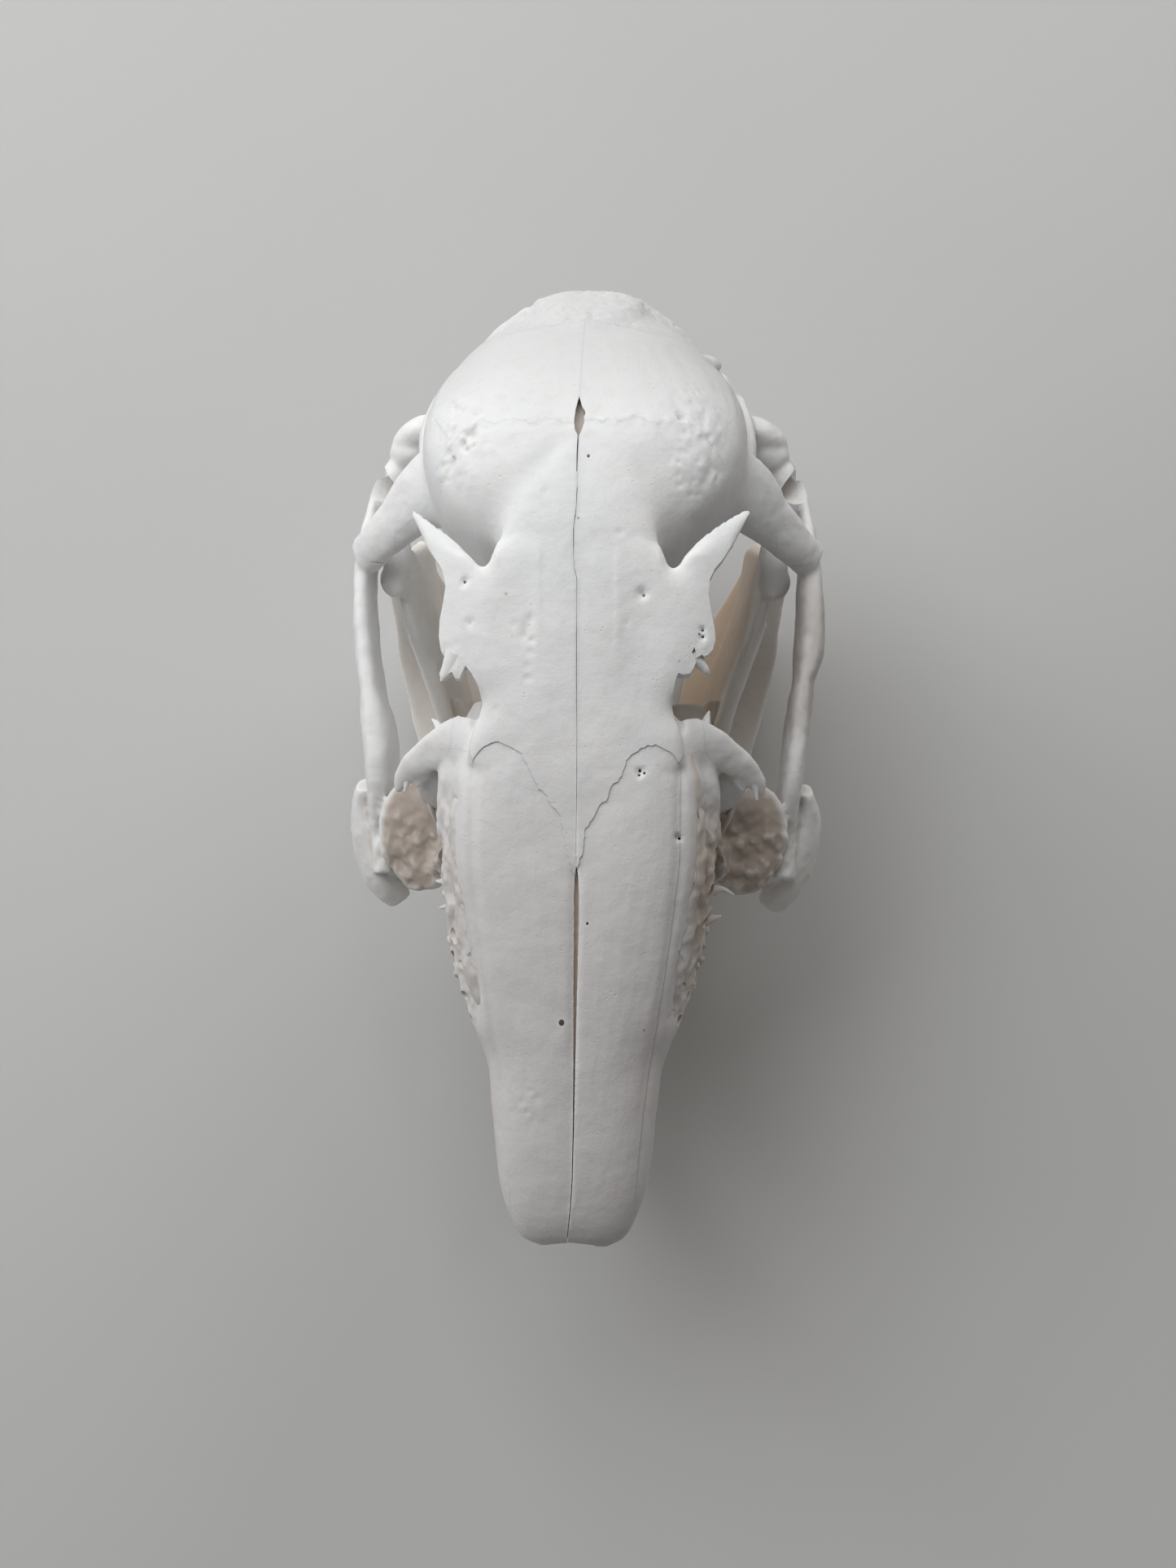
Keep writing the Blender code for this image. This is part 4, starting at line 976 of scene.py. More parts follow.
chips = {
    "right": (
        ((8.8, 44.9, 52.6, 0.6, 0.5), (9.7, 44.35, 52.1, 0.4, 0.35), (10.15, 43.9, 51.8, 0.28, 0.24),
         (10.3, 43.7, 51.6, 0.1, 0.1)),
        ((10.0, 39.8, 48.2, 0.6, 0.5), (10.3, 40.9, 48.2, 0.3, 0.25), (10.5, 41.6, 48.1, 0.08, 0.08)),
        ((13.4, 37.6, 45.3, 0.5, 0.35), (14.4, 36.2, 44.2, 0.3, 0.25), (14.6, 35.2, 43.8, 0.1, 0.1)),
        ((9.0, 28.4, 39.6, 1.0, 0.8), (10.9, 28.3, 38.9, 0.6, 0.45), (12.0, 28.5, 38.4, 0.26, 0.2),
         (13.0, 28.1, 38.1, 0.08, 0.08)),
        ((9.0, 25.4, 40.4, 0.9, 0.7), (10.8, 25.8, 39.4, 0.45, 0.35), (11.9, 26.2, 38.6, 0.12, 0.1)),
        ((9.6, 72.8, 44.8, 1.1, 0.9), (10.8, 73.2, 44.0, 0.8, 0.7), (11.3, 73.4, 43.7, 0.4, 0.4)),
        ((13.3, 37.6, 40.2, 0.2, 0.5), (12.95, 35.8, 40.0, 0.26, 0.7), (12.5, 34.4, 39.2, 0.22, 0.6),
         (12.1, 33.5, 38.4, 0.12, 0.4)),
        ((12.0, 33.2, 37.9, 0.14, 0.1), (12.4, 32.9, 38.2, 0.3, 0.12, 20), (12.9, 32.6, 38.1, 0.12, 0.08)),
        ((12.2, 32.2, 37.7, 0.1, 0.1), (12.7, 32.0, 37.9, 0.35, 0.12, -20), (13.3, 31.7, 37.6, 0.1, 0.08)),
        ((11.3, 31.2, 38.0, 0.15, 0.1), (11.8, 30.9, 38.2, 0.3, 0.14, 10), (12.4, 30.6, 38.0, 0.12, 0.08)),
    ),
    "left": (
        ((9.6, 45.0, 52.4, 0.9, 0.55), (10.2, 43.8, 52.0, 0.6, 0.42), (10.6, 43.2, 51.8, 0.3, 0.28),
         (10.8, 42.9, 51.7, 0.1, 0.1)),
        ((13.2, 37.8, 45.4, 0.5, 0.35), (14.1, 36.5, 44.4, 0.32, 0.26), (14.4, 35.5, 44.0, 0.12, 0.12)),
        ((11.0, 39.6, 47.5, 0.5, 0.35), (11.6, 40.6, 47.0, 0.25, 0.2), (12.0, 41.0, 46.6, 0.1, 0.1)),
        ((9.0, 28.6, 39.6, 1.0, 0.8), (10.9, 28.7, 38.9, 0.5, 0.35), (12.2, 28.9, 38.2, 0.1, 0.1)),
        ((9.0, 26.8, 39.4, 0.9, 0.7), (10.8, 26.7, 39.2, 0.35, 0.3), (11.8, 26.5, 38.8, 0.08, 0.08)),
        ((13.3, 37.6, 40.2, 0.2, 0.5), (12.95, 35.8, 40.0, 0.26, 0.7), (12.5, 34.4, 39.2, 0.22, 0.6),
         (12.1, 33.5, 38.4, 0.12, 0.4)),
    ),
}

tornCrumbs = {  # torn bone along the snout's side; pairs go from least to most
    "count": 34,
    "behind": (20, 31.5),
    "height": (37, 43),
    "radii": ((0.3, 0.2, 0.15), (0.75, 0.55, 0.4)),
    "turn": (-50, 50),
    "sunk": 0.1,
    "voxel": 0.16,
}


def crumbForms(side, rng):
    crumbs = []
    for _ in range(tornCrumbs["count"]):
        y, z = rng.uniform(*tornCrumbs["behind"]), rng.uniform(*tornCrumbs["height"])
        radii = rng.uniform(*tornCrumbs["radii"])
        turn = rng.uniform(*tornCrumbs["turn"], 3)
        crumbs.append(lump((snoutSide(y, z) - tornCrumbs["sunk"], y, z), radii, side, turn, rings=7))
    return crumbs


def midlineCutter(widths, low, high, depth):
    # a thin wall along the midline seam, with keys of half width
    rng = np.random.default_rng(29)
    ahead, behind = [], []
    for y in np.arange(low, high + 0.01, 0.4):
        x, half = np.interp(y, *zip(*midline["seam"])), keyed(widths, y)
        ahead.append((x + half * rng.uniform(0.9, 1.1), y))
        behind.append((x - half * rng.uniform(0.9, 1.1), y))
    return prism(ahead + behind[::-1], lambda y: roof(y) - depth, clearHeight)


cuts = [
    midlineCutter(midline["gap"], -0.8, 28.4, midline["gapDepth"]),
    midlineCutter(midline["crack"], 28.8, 57.6, midline["crackDepth"]),
    prism(midline["bregmaHole"], lambda y: roof(y) - midline["holeDepth"], orbitLevels[1]),
]
cuts += [prism(sided(orbitEdge[name], side), *orbitLevels) for side, name in sideNames]
for px, py, radius in foramina:
    cuts.append(lump((px, py, roof(py) - 0.022 * px * px), (radius, radius * 1.15, 0.9), rings=10))
hollowOut(cranium, cuts)
for k in range(3):  # every third chip at a time, so that no two of one batch touch
    batch = [sweptBar(chip, side, step=0.18, points=14) for side, name in sideNames for chip in chips[name][k::3]]
    unite(cranium, joinForms("flakes", batch))
crumbs = joinForms("crumbs", [crumb for side, name in sideNames for crumb in crumbForms(side, rng)])
melt(crumbs, tornCrumbs["voxel"], 1)
unite(cranium, crumbs)
keepLargest(cranium)
say("edges, flakes and small holes made")


# Parting the cranium into its bones

def resampled(line, spacing):
    line = [Vector(p) for p in line]
    along = [0.0]
    for a, b in zip(line, line[1:]):
        along.append(along[-1] + (b - a).length)
    count = max(1, round(along[-1] / spacing))
    out = []
    for i in range(count + 1):
        d = along[-1] * i / count
        k = max(j for j in range(len(line)) if along[j] <= d + 1e-9)
        k = min(k, len(line) - 2)
        out.append(line[k].lerp(line[k + 1], (d - along[k]) / (along[k + 1] - along[k])))
    return out


sutureSway = {  # spacing of the points, sway and seed
    "tear": (0.5, 0.15, 3), "nasalBack": (0.3, 0.07, 11), "nasalEdge": (0.8, 0.03, 21),
    "coronal_right": (0.35, 0.27, 41), "coronal_left": (0.35, 0.13, 41), "lambdoid": (0.4, 0.12, 61),
    "incisive": (0.5, 0.12, 71),
}


def wandering(line, suture, side=0):  # a suture's line, swaying from side to side
    spacing, sway, seed = sutureSway[suture]
    rng = np.random.default_rng(seed + side)
    points = resampled(line, spacing)
    out = [tuple(points[0])]
    for i in range(1, len(points) - 1):
        ahead = (points[i + 1] - points[i - 1]).normalized()
        out.append(tuple(points[i] + Vector((-ahead.y, ahead.x)) * rng.uniform(-sway, sway)))
    return out + [tuple(points[-1])]


def grown(outline, by):  # the outline with each side moved outwards
    area = sum(x0 * y1 - x1 * y0 for (x0, y0), (x1, y1) in zip(outline, outline[1:] + outline[:1]))
    out = []
    for i, here in enumerate(outline):
        here = Vector(here)
        back = (here - Vector(outline[i - 1])).normalized()
        ahead = (Vector(outline[(i + 1) % len(outline)]) - here).normalized()
        corner = Vector((back.y + ahead.y, -back.x - ahead.x))
        corner = corner.normalized() / max(0.5, math.sqrt(max(0.0, (1 + back.dot(ahead)) / 2)))
        out.append(tuple(here + corner * by * math.copysign(1, area)))
    return out


bones = {}
boneLevels = {  # heights between which a bone is cut out from above
    "zygomatic": (26, 38.6),
    "lacrimal": (41.2, clearHeight),
    "nasal": (lambda y: roof(y) - 3.6, clearHeight),
    "frontal": (lambda y: 44.0 if y < 42 else 40.0, clearHeight),
    "parietal": (43, clearHeight),
    "bulla": (16, 30),
    "temporal": (20, clearHeight),
}
boneReach = {"incisive": (0.03, 14), "maxilla": (0.03, 26), "occipital": (-22, 22)}  # and across, from the side


def carvePlan(name, side, outline):
    low, high = boneLevels[name.split("_")[0]]
    outline, seam = sided(outline, side), blankSettings["seam"]
    floor = (lambda y: low(y) - seam) if callable(low) else low - seam
    outer = prism(grown(outline, seam), floor, high + seam)
    bones[name] = carve(cranium, name, prism(outline, low, high), outer)
    return bones[name]


def carveSide(name, side, outline):
    low, high = sorted(side * across for across in boneReach[name.split("_")[0]])
    seam = blankSettings["seam"]
    outer = prism(grown(outline, seam), low - seam, high + seam, sideView=True)
    bones[name] = carve(cranium, name, prism(outline, low, high, sideView=True), outer)
    return bones[name]


def seamPoints(start, end, side, step=0.8):  # the midline seam as the inner edge of one side's outline
    return [(side * np.interp(y, *zip(*midline["seam"])), y) for y in np.arange(start, end + 0.01, step)]


def settle(obj, line, depth, reach):  # sinks a bone's top along a line, so that its neighbour stands proud there
    points = readPoints(obj.data)[0]
    points[:, 2] -= around(lineDistance(points[:, :2], line), 0, reach) * depth * fade(points[:, 2], 41, 43)
    movePoints(obj.data, points)


bonePlans = {  # one side's outlines from above: across, behind the nose tip
    "zygomatic": (cheekCut, (25, 39), (25, 70), (18.8, 70), (18.8, 62.2), (17, 60.6)),
    "tearSuture": ((10.2, 40.9), (10.0, 39.2), (10.6, 37.6)),
    "tearOutside": ((17.5, 33.0), (17.5, 42.0), (11.2, 42.0)),
    "frontalOutside": (
        (11.5, 60.5), (16.5, 58.5), (16.5, 41.5), (12, 38.6), (9.4, 37.9), (8.6, 37.5), (8.1, 36.6), (6.5, 36.4),
        (3, 30),
    ),
    "lambdoidSuture": ((0.03, 75.2), (4.6, 74.4), (9.4, 74.6), (12.2, 71.0)),
    "parietalOutside": ((12.6, 66.0), (10.4, 62.0), (9.7, 61.0)),
    "bulla": ((5.2, 62.5), (16, 62.5), (16, 76), (5.2, 76)),
    "temporal": ((9.2, 57), (26, 57), (26, 74), (9.2, 74)),
}
boneViews = {  # outlines from the side: behind the nose tip, height
    "incisiveSuture": ((16.6, 22), (18.0, 30), (19.6, 38), (20.8, 44.6)),
    "incisiveStrip": ((22.4, 46.9), (25.6, 47.6), (28.8, 48.2), (33.3, 49.0), (37.6, 49.6)),
    "maxilla": ((-5, 14), (50, 14), (50, 33.5), (42, 37), (40.5, 44), (40.5, clearHeight), (-5, clearHeight)),
    "occipital": ((74.6, clearHeight), (75.0, 40), (72.4, 34), (71.0, 20), (90, 20), (90, clearHeight)),
}
sunkEdge = {"nasal": (0.1, 1.3), "incisive": (0.12, 0.8)}  # depth, and how far it reaches

addRelief(cranium.data)
for side, name in sideNames:
    carvePlan(f"zygomatic_{name}", side, bonePlans["zygomatic"])
    outline = wandering(bonePlans["tearSuture"], "tear") + list(bonePlans["tearOutside"])
    carvePlan(f"lacrimal_{name}", side, outline)
say("cheek arches and tear bones parted")

for side, name in sideNames:
    back = wandering(nasalBack[name], "nasalBack", side)
    edge = wandering(nasalEdge, "nasalEdge", side)
    nasal = carvePlan(f"nasal_{name}", side, seamPoints(-3, 28, side) + back + edge[1:])
    settle(nasal, sided(back, side), *sunkEdge["nasal"])
say("nasals parted")

for side, name in sideNames:
    coronal = sorted((abs(px), py) for px, py in coronalLine if px * side > 0.5)
    coronal = wandering([(0.03, 63.1)] + coronal, f"coronal_{name}", side)
    outline = seamPoints(27.2, 62.8, side) + coronal[1:] + list(bonePlans["frontalOutside"])
    carvePlan(f"frontal_{name}", side, outline)
    lambdoid = wandering(bonePlans["lambdoidSuture"], "lambdoid", side)
    outline = seamPoints(61, 75, side, 2.0) + lambdoid[1:] + list(bonePlans["parietalOutside"])
    carvePlan(f"parietal_{name}", side, outline)
say("frontals and parietals parted")

incisiveView = [(-4, 22)] + wandering(boneViews["incisiveSuture"], "incisive")
incisiveView += [*boneViews["incisiveStrip"], (37.6, clearHeight), (-4, clearHeight)]
for side, name in sideNames:
    incisive = carveSide(f"incisive_{name}", side, incisiveView)
    settle(incisive, sided(nasalEdge, side), *sunkEdge["incisive"])
    carveSide(f"maxilla_{name}", side, boneViews["maxilla"])
    for kind in ("bulla", "temporal"):
        carvePlan(f"{kind}_{name}", side, bonePlans[kind])
carveSide("occipital", 1, boneViews["occipital"])
bones["sphenoid"] = cranium
cranium.name = "sphenoid_shape"
for bone in bones.values():
    keepLargest(bone, blankSettings["crumb"])
say(f"cranium parted into {len(bones)} bones")


# Lower jaw

jawBodyShape = {
    "start": 8.4,
    "end": 50,
    "halfWidth": ((8.4, 1.5), (12, 2.1), (20, 2.6), (27, 2.7), (38, 3.1), (45, 2.8), (50, 1.6)),
    "top": ((8.4, 17.0), (11, 15.0), (15, 12.8), (21, 12.2), (27, 13.8), (31, 15.2), (45, 15.8), (50, 18)),
    "widest": ((8.4, 14.6), (12, 11.6), (20, 8.2), (31, 8), (50, 9)),
    "bottom": ((8.4, 12.6), (12, 9.0), (20, 4.0), (27, 1.2), (31, 0.3), (36, -0.3), (44, -0.3), (50, 0.6)),
    "power": 2.5,
    "middle": ((8.4, 1.6), (12, 2.3), (20, 4.0), (27, 6.0), (38, 9.0), (50, 12.6)),
}

jawShape = {
    "foot": (
        (11.8, 42, 2.6, 2.8, 1.15, -12), (13.1, 47, 3.2, 4.2, 0.95, -20), (13.7, 50, 3.1, 4.8, 0.9, -25),
        (14.5, 54, 2.9, 5.2, 0.85, -29), (15.4, 58, 3.4, 5.2, 0.85, -36), (16.5, 61.5, 6.0, 4.1, 0.85, -50),
        (17.1, 65.2, 10.4, 2.0, 0.75, -70), (17.2, 67.0, 14.0, 0.8, 0.55, -80),
    ),
    "condyle": {"place": (16.9, 58.4, 34.7), "radii": (1.3, 3.3, 1.35)},
    "knob": {"place": (17.0, 56.9, 34.2), "radii": (1.45, 1.7, 1.6)},
    "ridge": (
        (12.9, 45.5, 17.0, 0.9, 1.2), (14.2, 49.5, 22.4, 0.8, 1.2), (15.5, 53.0, 27.4, 0.8, 1.0),
        (16.2, 54.6, 29.6, 0.7, 0.7),
    ),
    "ledge": (
        (17.3, 60.4, 30, 1.4, 0.7), (17.45, 59.8, 25, 1.7, 0.65), (17.6, 59.0, 20, 1.8, 0.6),
        (17.75, 58.0, 15, 1.8, 0.6), (17.7, 56.2, 11, 1.9, 0.6), (16.8, 52.6, 7.5, 1.9, 0.6),
        (15.7, 48.9, 5.5, 1.8, 0.6), (13.6, 44.8, 4.5, 1.0, 0.6),
    ),
}

ramusShape = {  # the thin upright plate, leaning outwards to its top, by distance behind the nose tip
    "top": (
        (43, 14), (46, 17.2), (48.6, 21), (50.8, 25.6), (52.6, 30.2), (54.4, 32.6), (57, 33.8), (60, 33.8),
        (61.4, 30.6), (62.6, 25.4), (64.4, 20.6), (66.2, 16.6), (67, 14.2),
    ),
    "bottom": ((43, 2.2), (48, 2.8), (52, 1.6), (55, 1.0), (58, 1.6), (61, 3.8), (64, 7.2), (66, 10.6), (67, 12.5)),
    "topAcross": ((43, 12.6), (46, 13.3), (54, 16.0), (60, 17.0), (67, 17.1)),
    "bottomAcross": ((43, 11.2), (50, 12.2), (57, 13.8), (61, 15.4), (67, 16.8)),
    "halfThickness": 0.8,
    "start": 43,
    "end": 67,
    "rings": 33,
    "power": 4.0,
}


def ramusForm(side):
    rings = []
    for y in np.linspace(ramusShape["start"], ramusShape["end"], ramusShape["rings"]):
        high, low = keyed(ramusShape["top"], y), keyed(ramusShape["bottom"], y)
        middle = (high + low) / 2
        outline = ringAround(ramusShape["halfThickness"], high - middle, middle - low, ramusShape["power"])
        ring = []
        for across, height in outline:
            share = (height + middle - low) / (high - low)
            x = keyed(ramusShape["bottomAcross"], y) * (1 - share) + keyed(ramusShape["topAcross"], y) * share
            ring.append((side * (x + across), y, middle + height))
        rings.append(ring)
    return loftRings(rings)


def jawForms(side):
    body = dict(jawBodyShape, middle=tuple((y, side * x) for y, x in jawBodyShape["middle"]))
    return [formAlong(**body), ramusForm(side)] + sideForms(jawShape, side)


def sculptJaw(mesh, side):
    points, normals = readPoints(mesh)
    x, y, z = points.T
    outer = normals[:, 0] * side
    move = uneven(points, **skin["jaw"])
    # hollows for the chewing muscles on the outer and inner side of the plate
    fossa = np.exp(-(((y - 56) / 5.5) ** 2 + ((z - 13) / 6.5) ** 2))
    move -= fossa * 0.22 * fade(np.abs(outer), 0.3, 0.8)
    # spongy bone ahead of the cheek teeth, and the nerve's opening there
    sponge = np.exp(-(((y - 25.5) / 4) ** 2 + ((z - 10) / 3) ** 2)) * fade(outer, 0.2, 0.7)
    move -= np.clip(lumpNoise(points, 0.9, 24) - 0.05, 0, 1) * sponge * 0.6
    opening = np.hypot(y - 24.2, z - 11.2) / 0.7
    move -= np.exp(-opening ** 2) * 0.8 * fade(outer, 0, 0.5)
    # rough line where the muscle took hold along the foot
    foot = fade(y, 44, 48) * (1 - fade(z, 1.5, 6)) * fade(outer, -0.2, 0.4)
    move += lumpNoise(points, 0.9, 25) * 0.06 * foot
    move[z < 0.35] = 0
    movePoints(mesh, points + normals * move[:, None])


# Teeth

cheekTeeth = {  # "small" holds the shares of the row's small end teeth
    "upper": {
        "start": 32.0, "pitch": 2.55, "count": 6, "across": 9.1, "spread": 0.0, "halfWidth": 2.15,
        "small": {0: 0.78, 5: 0.78}, "root": 24.5, "crown": 18.45, "wear": -0.06,
    },
    "lower": {
        "start": 31.6, "pitch": 2.8, "count": 5, "across": 7.6, "spread": 0.12, "halfWidth": 1.75,
        "small": {4: 0.8}, "root": 12.5, "crown": 18.15, "wear": 0.06,
    },
    "plateGap": 0.06,  # between the two plates of a tooth
    "toothGap": 0.12,
    "socketGap": 0.1,
    "enamel": 0.17,
    "basin": 0.16,
    "hindPlate": 0.92,  # width against the front plate
}


def plateForm(x, y, halfWidth, halfLength, root, crown):
    # one of a tooth's two upright plates: an oval column with an enamel rim round a worn basin
    down = math.copysign(cheekTeeth["basin"], root - crown)
    enamel = cheekTeeth["enamel"]
    levels = (  # height, inset from the outline
        (root, 0.0), (root + (crown - root) * 0.5, 0.0), (crown + down * 1.2, 0.01), (crown + down * 0.3, 0.05),
        (crown, enamel * 0.5), (crown + down * 0.3, enamel), (crown + down, enamel * 1.3),
        (crown + down * 1.3, enamel * 2.2),
    )
    rings = []
    for z, inset in levels:
        ring = ringAround(halfWidth - inset, halfLength - inset, halfLength - inset, 2.9, points=26)
        rings.append([(x + across, y + along, z) for across, along in ring])
    return loftRings(rings)


def toothRow(row, side):
    shape = cheekTeeth[row]
    forms = []
    for i in range(shape["count"]):
        small = shape["small"].get(i, 1.0)
        middle = shape["start"] + shape["pitch"] * (i + 0.5)
        x = side * (shape["across"] + shape["spread"] * (middle - shape["start"]))
        half = shape["pitch"] / 4 - cheekTeeth["toothGap"] / 4 - cheekTeeth["plateGap"] / 4
        for k in (-1, 1):
            y = middle + k * (half + cheekTeeth["plateGap"] / 2)
            halfWidth = shape["halfWidth"] * small * (1.0 if k < 0 else cheekTeeth["hindPlate"])
            # the hind plate is a little longer than the front one, as wear leaves it
            forms.append(plateForm(x, y, halfWidth, half, shape["root"], shape["crown"] + k * shape["wear"]))
    return forms


def toothSocket(row, side):
    shape = cheekTeeth[row]
    ends = (shape["start"] - 0.05, shape["start"] + shape["pitch"] * shape["count"] + 0.05)
    far = shape["crown"] + math.copysign(3, shape["crown"] - shape["root"])
    low, high = sorted((shape["root"] + math.copysign(0.2, shape["root"] - shape["crown"]), far))
    outline = []
    for y, direction in ((ends[0], -1), (ends[0], 1), (ends[1], 1), (ends[1], -1)):
        middle = shape["across"] + shape["spread"] * (y - shape["start"])
        nearEnd = shape["small"].get(0 if y == ends[0] else shape["count"] - 1, 1.0)
        outline.append((side * (middle + direction * (shape["halfWidth"] * nearEnd + cheekTeeth["socketGap"])), y))
    return prism(outline, low, high)


gnawingTeeth = {  # arcs in side view: centre, radius and angles from root to edge
    "upper": {
        "centre": (10.6, 23.8), "radius": 8.4, "angles": (112, 222), "halfWidth": 1.2, "halfDepth": 1.3,
        "across": 1.42, "groove": 0.28, "chisel": 0.55,
    },
    "lower": {
        "centre": (19.0, 25.0), "radius": 13.6, "angles": (248, 206), "halfWidth": 1.1, "halfDepth": 1.0,
        "across": 1.35, "groove": 0.0, "chisel": 0.9,
    },
    "peg": {
        "centre": (10.9, 24.2), "radius": 5.6, "angles": (160, 214), "halfWidth": 0.55, "halfDepth": 0.5,
        "across": 0.85, "groove": 0.0, "chisel": 0.2,
    },
    "steps": 26,
    "ringPoints": 40,
    "socketGap": 0.1,
}


def gnawingForm(row, side, grow=0.0):
    shape = gnawingTeeth[row]
    fromAngle, toAngle = (math.radians(a) for a in shape["angles"])
    halfWidth, halfDepth = shape["halfWidth"] + grow, shape["halfDepth"] + grow
    steps = gnawingTeeth["steps"]
    turn = math.copysign(1, toAngle - fromAngle)
    rings = []
    for i in range(steps + 1):
        share = i / steps
        angle = fromAngle + (toAngle - fromAngle) * share
        out = Vector((0, math.cos(angle), math.sin(angle)))
        ahead = Vector((0, -math.sin(angle), math.cos(angle))) * turn
        middle = Vector((shape["across"], *shape["centre"])) + out * shape["radius"]
        middle += ahead * grow * (1 if i == steps else -1 if i == 0 else 0)
        worn = 0 if grow else max(0.0, (share - 0.93) / 0.07)
        ring = []
        for a, h in ringAround(halfWidth, halfDepth, halfDepth, 3.2, points=gnawingTeeth["ringPoints"]):
            if h > 0 and not grow:
                h -= shape["groove"] * math.exp(-(((a + 0.25) / 0.28) ** 2))
            if h < 0:  # the back face is worn away to a chisel edge in front
                h *= 1 - 0.75 * worn
            p = middle + out * h + ahead * (h - shape["halfDepth"]) * shape["chisel"] * worn
            ring.append((side * (p.x + a), p.y, p.z))
        rings.append(ring)
    return loftRings(rings)


jawLean = {"foot": 1.0, "joint": 0.3, "jointHeight": 33.0}  # how far the loose lower jaw has slipped to the left
jaws, teeth = {}, {}
for side, name in sideNames:
    jaw = joinForms(f"mandible_{name}", jawForms(side))
    melt(jaw)
    sculptJaw(jaw.data, side)
    hollowOut(jaw, [prism([(-60, -40), (60, -40), (60, 120), (-60, 120)], -30, 0.0)])
    hollowOut(jaw, [prism(sided([(0.1, -20), (-40, -20), (-40, 120), (0.1, 120)], side), -30, 60)])
    hollowOut(jaw, [toothSocket("lower", side)])
    hollowOut(jaw, [gnawingForm("lower", side, gnawingTeeth["socketGap"])])
    keepLargest(jaw)
    jaws[f"mandible_{name}"] = jaw
    hollowOut(bones[f"maxilla_{name}"], [toothSocket("upper", side)])
    hollowOut(bones[f"incisive_{name}"], [gnawingForm("upper", side, gnawingTeeth["socketGap"])])
    hollowOut(bones[f"incisive_{name}"], [gnawingForm("peg", side, gnawingTeeth["socketGap"])])
    for kind in ("maxilla", "incisive"):
        keepLargest(bones[f"{kind}_{name}"], blankSettings["crumb"])
    for row in ("upper", "lower"):
        teeth[f"{row}_incisor_{name}"] = joinForms(f"{row}_incisor_{name}", [gnawingForm(row, side)])
        teeth[f"{row}_cheek_teeth_{name}"] = joinForms(f"{row}_cheek_teeth_{name}", toothRow(row, side))
    teeth[f"peg_tooth_{name}"] = joinForms(f"peg_tooth_{name}", [gnawingForm("peg", side)])
lean = Matrix.Translation((-jawLean["foot"], 0, 0))
lean[0][2] = (jawLean["foot"] - jawLean["joint"]) / jawLean["jointHeight"]
for piece in (*jaws.values(), *(tooth for key, tooth in teeth.items() if key.startswith("lower"))):
    piece.data.transform(lean)
say("lower jaw and teeth made")


# Materials: Shade wraps a socket, so that shader maths reads as arithmetic

class Shade:
    def __init__(self, finish, socket):
        self.finish, self.socket = finish, socket

    def combine(self, operation, first, second):
        return self.finish.node("ShaderNodeMath", {"operation": operation}, {0: first, 1: second})

    def __add__(self, other):
        return self.combine("ADD", self, other)

    def __radd__(self, other):
        return self.combine("ADD", other, self)

    def __sub__(self, other):
        return self.combine("SUBTRACT", self, other)

    def __rsub__(self, other):
        return self.combine("SUBTRACT", other, self)

    def __mul__(self, other):
        return self.combine("MULTIPLY", self, other)

    def __rmul__(self, other):
        return self.combine("MULTIPLY", other, self)

    def ramp(self, low, high, toLow=0.0, toHigh=1.0):
        values = {"Value": self, "From Min": low, "From Max": high, "To Min": toLow, "To Max": toHigh}
        return self.finish.node("ShaderNodeMapRange", {"interpolation_type": "SMOOTHSTEP"}, values)


class Finish:  # one material and its nodes
    def __init__(self, name):
        self.material = bpy.data.materials.new(name)
        self.material.use_nodes = True
        self.tree = self.material.node_tree
        self.shader = self.tree.nodes["Principled BSDF"]
        self.place = self.node("ShaderNodeTexCoord", output="Object")
        self.y, self.z = (self.node("ShaderNodeSeparateXYZ", values={0: self.place}, output=k) for k in (1, 2))

    def node(self, kind, settings=None, values=None, output=0):
        node = self.tree.nodes.new(kind)
        for key, value in (settings or {}).items():
            setattr(node, key, value)
        for key, value in (values or {}).items():
            if isinstance(value, Shade):
                self.tree.links.new(value.socket, node.inputs[key])
            else:
                node.inputs[key].default_value = value
        return Shade(self, node.outputs[output])

    def noise(self, size, detail=2.0, roughness=0.5, stretch=(1, 1, 1), shift=0.0):
        # size is that of one blotch in millimetres
        scale = [axis / (size * mm) for axis in stretch]
        values = {"Vector": self.place, "Scale": scale, "Location": (shift,) * 3}
        place = self.node("ShaderNodeMapping", values=values)
        values = {"Vector": place, "Scale": 1.0, "Detail": detail, "Roughness": roughness}
        return self.node("ShaderNodeTexNoise", values=values)

    def cells(self, size):
        place = self.node("ShaderNodeMapping", values={"Vector": self.place, "Scale": [1 / (size * mm)] * 3})
        return self.node("ShaderNodeTexVoronoi", values={"Vector": place, "Scale": 1.0})

    def mix(self, share, start, end):
        start, end = ((*value, 1) if isinstance(value, tuple) else value for value in (start, end))
        return self.node("ShaderNodeMix", {"data_type": "RGBA"}, {0: share, 6: start, 7: end}, output=2)

    def lengthwise(self, start, end, *values):  # from one distance behind the nose tip to another, in millimetres
        return self.y.ramp((start + frameShift.y) * mm, (end + frameShift.y) * mm, *values)

    def upward(self, start, end, *values):
        return self.z.ramp(start * mm, end * mm, *values)

    def attribute(self, name):
        return self.node("ShaderNodeAttribute", {"attribute_name": name}, output="Fac")

    def bump(self, height, strength, distance):
        values = {"Height": height, "Strength": strength, "Distance": distance * mm}
        return self.node("ShaderNodeBump", values=values)

    def finish(self, values, constants):
        for key, value in values.items():
            self.tree.links.new(value.socket, self.shader.inputs[key])
        for key, value in constants.items():
            self.shader.inputs[key].default_value = value
        return self.material


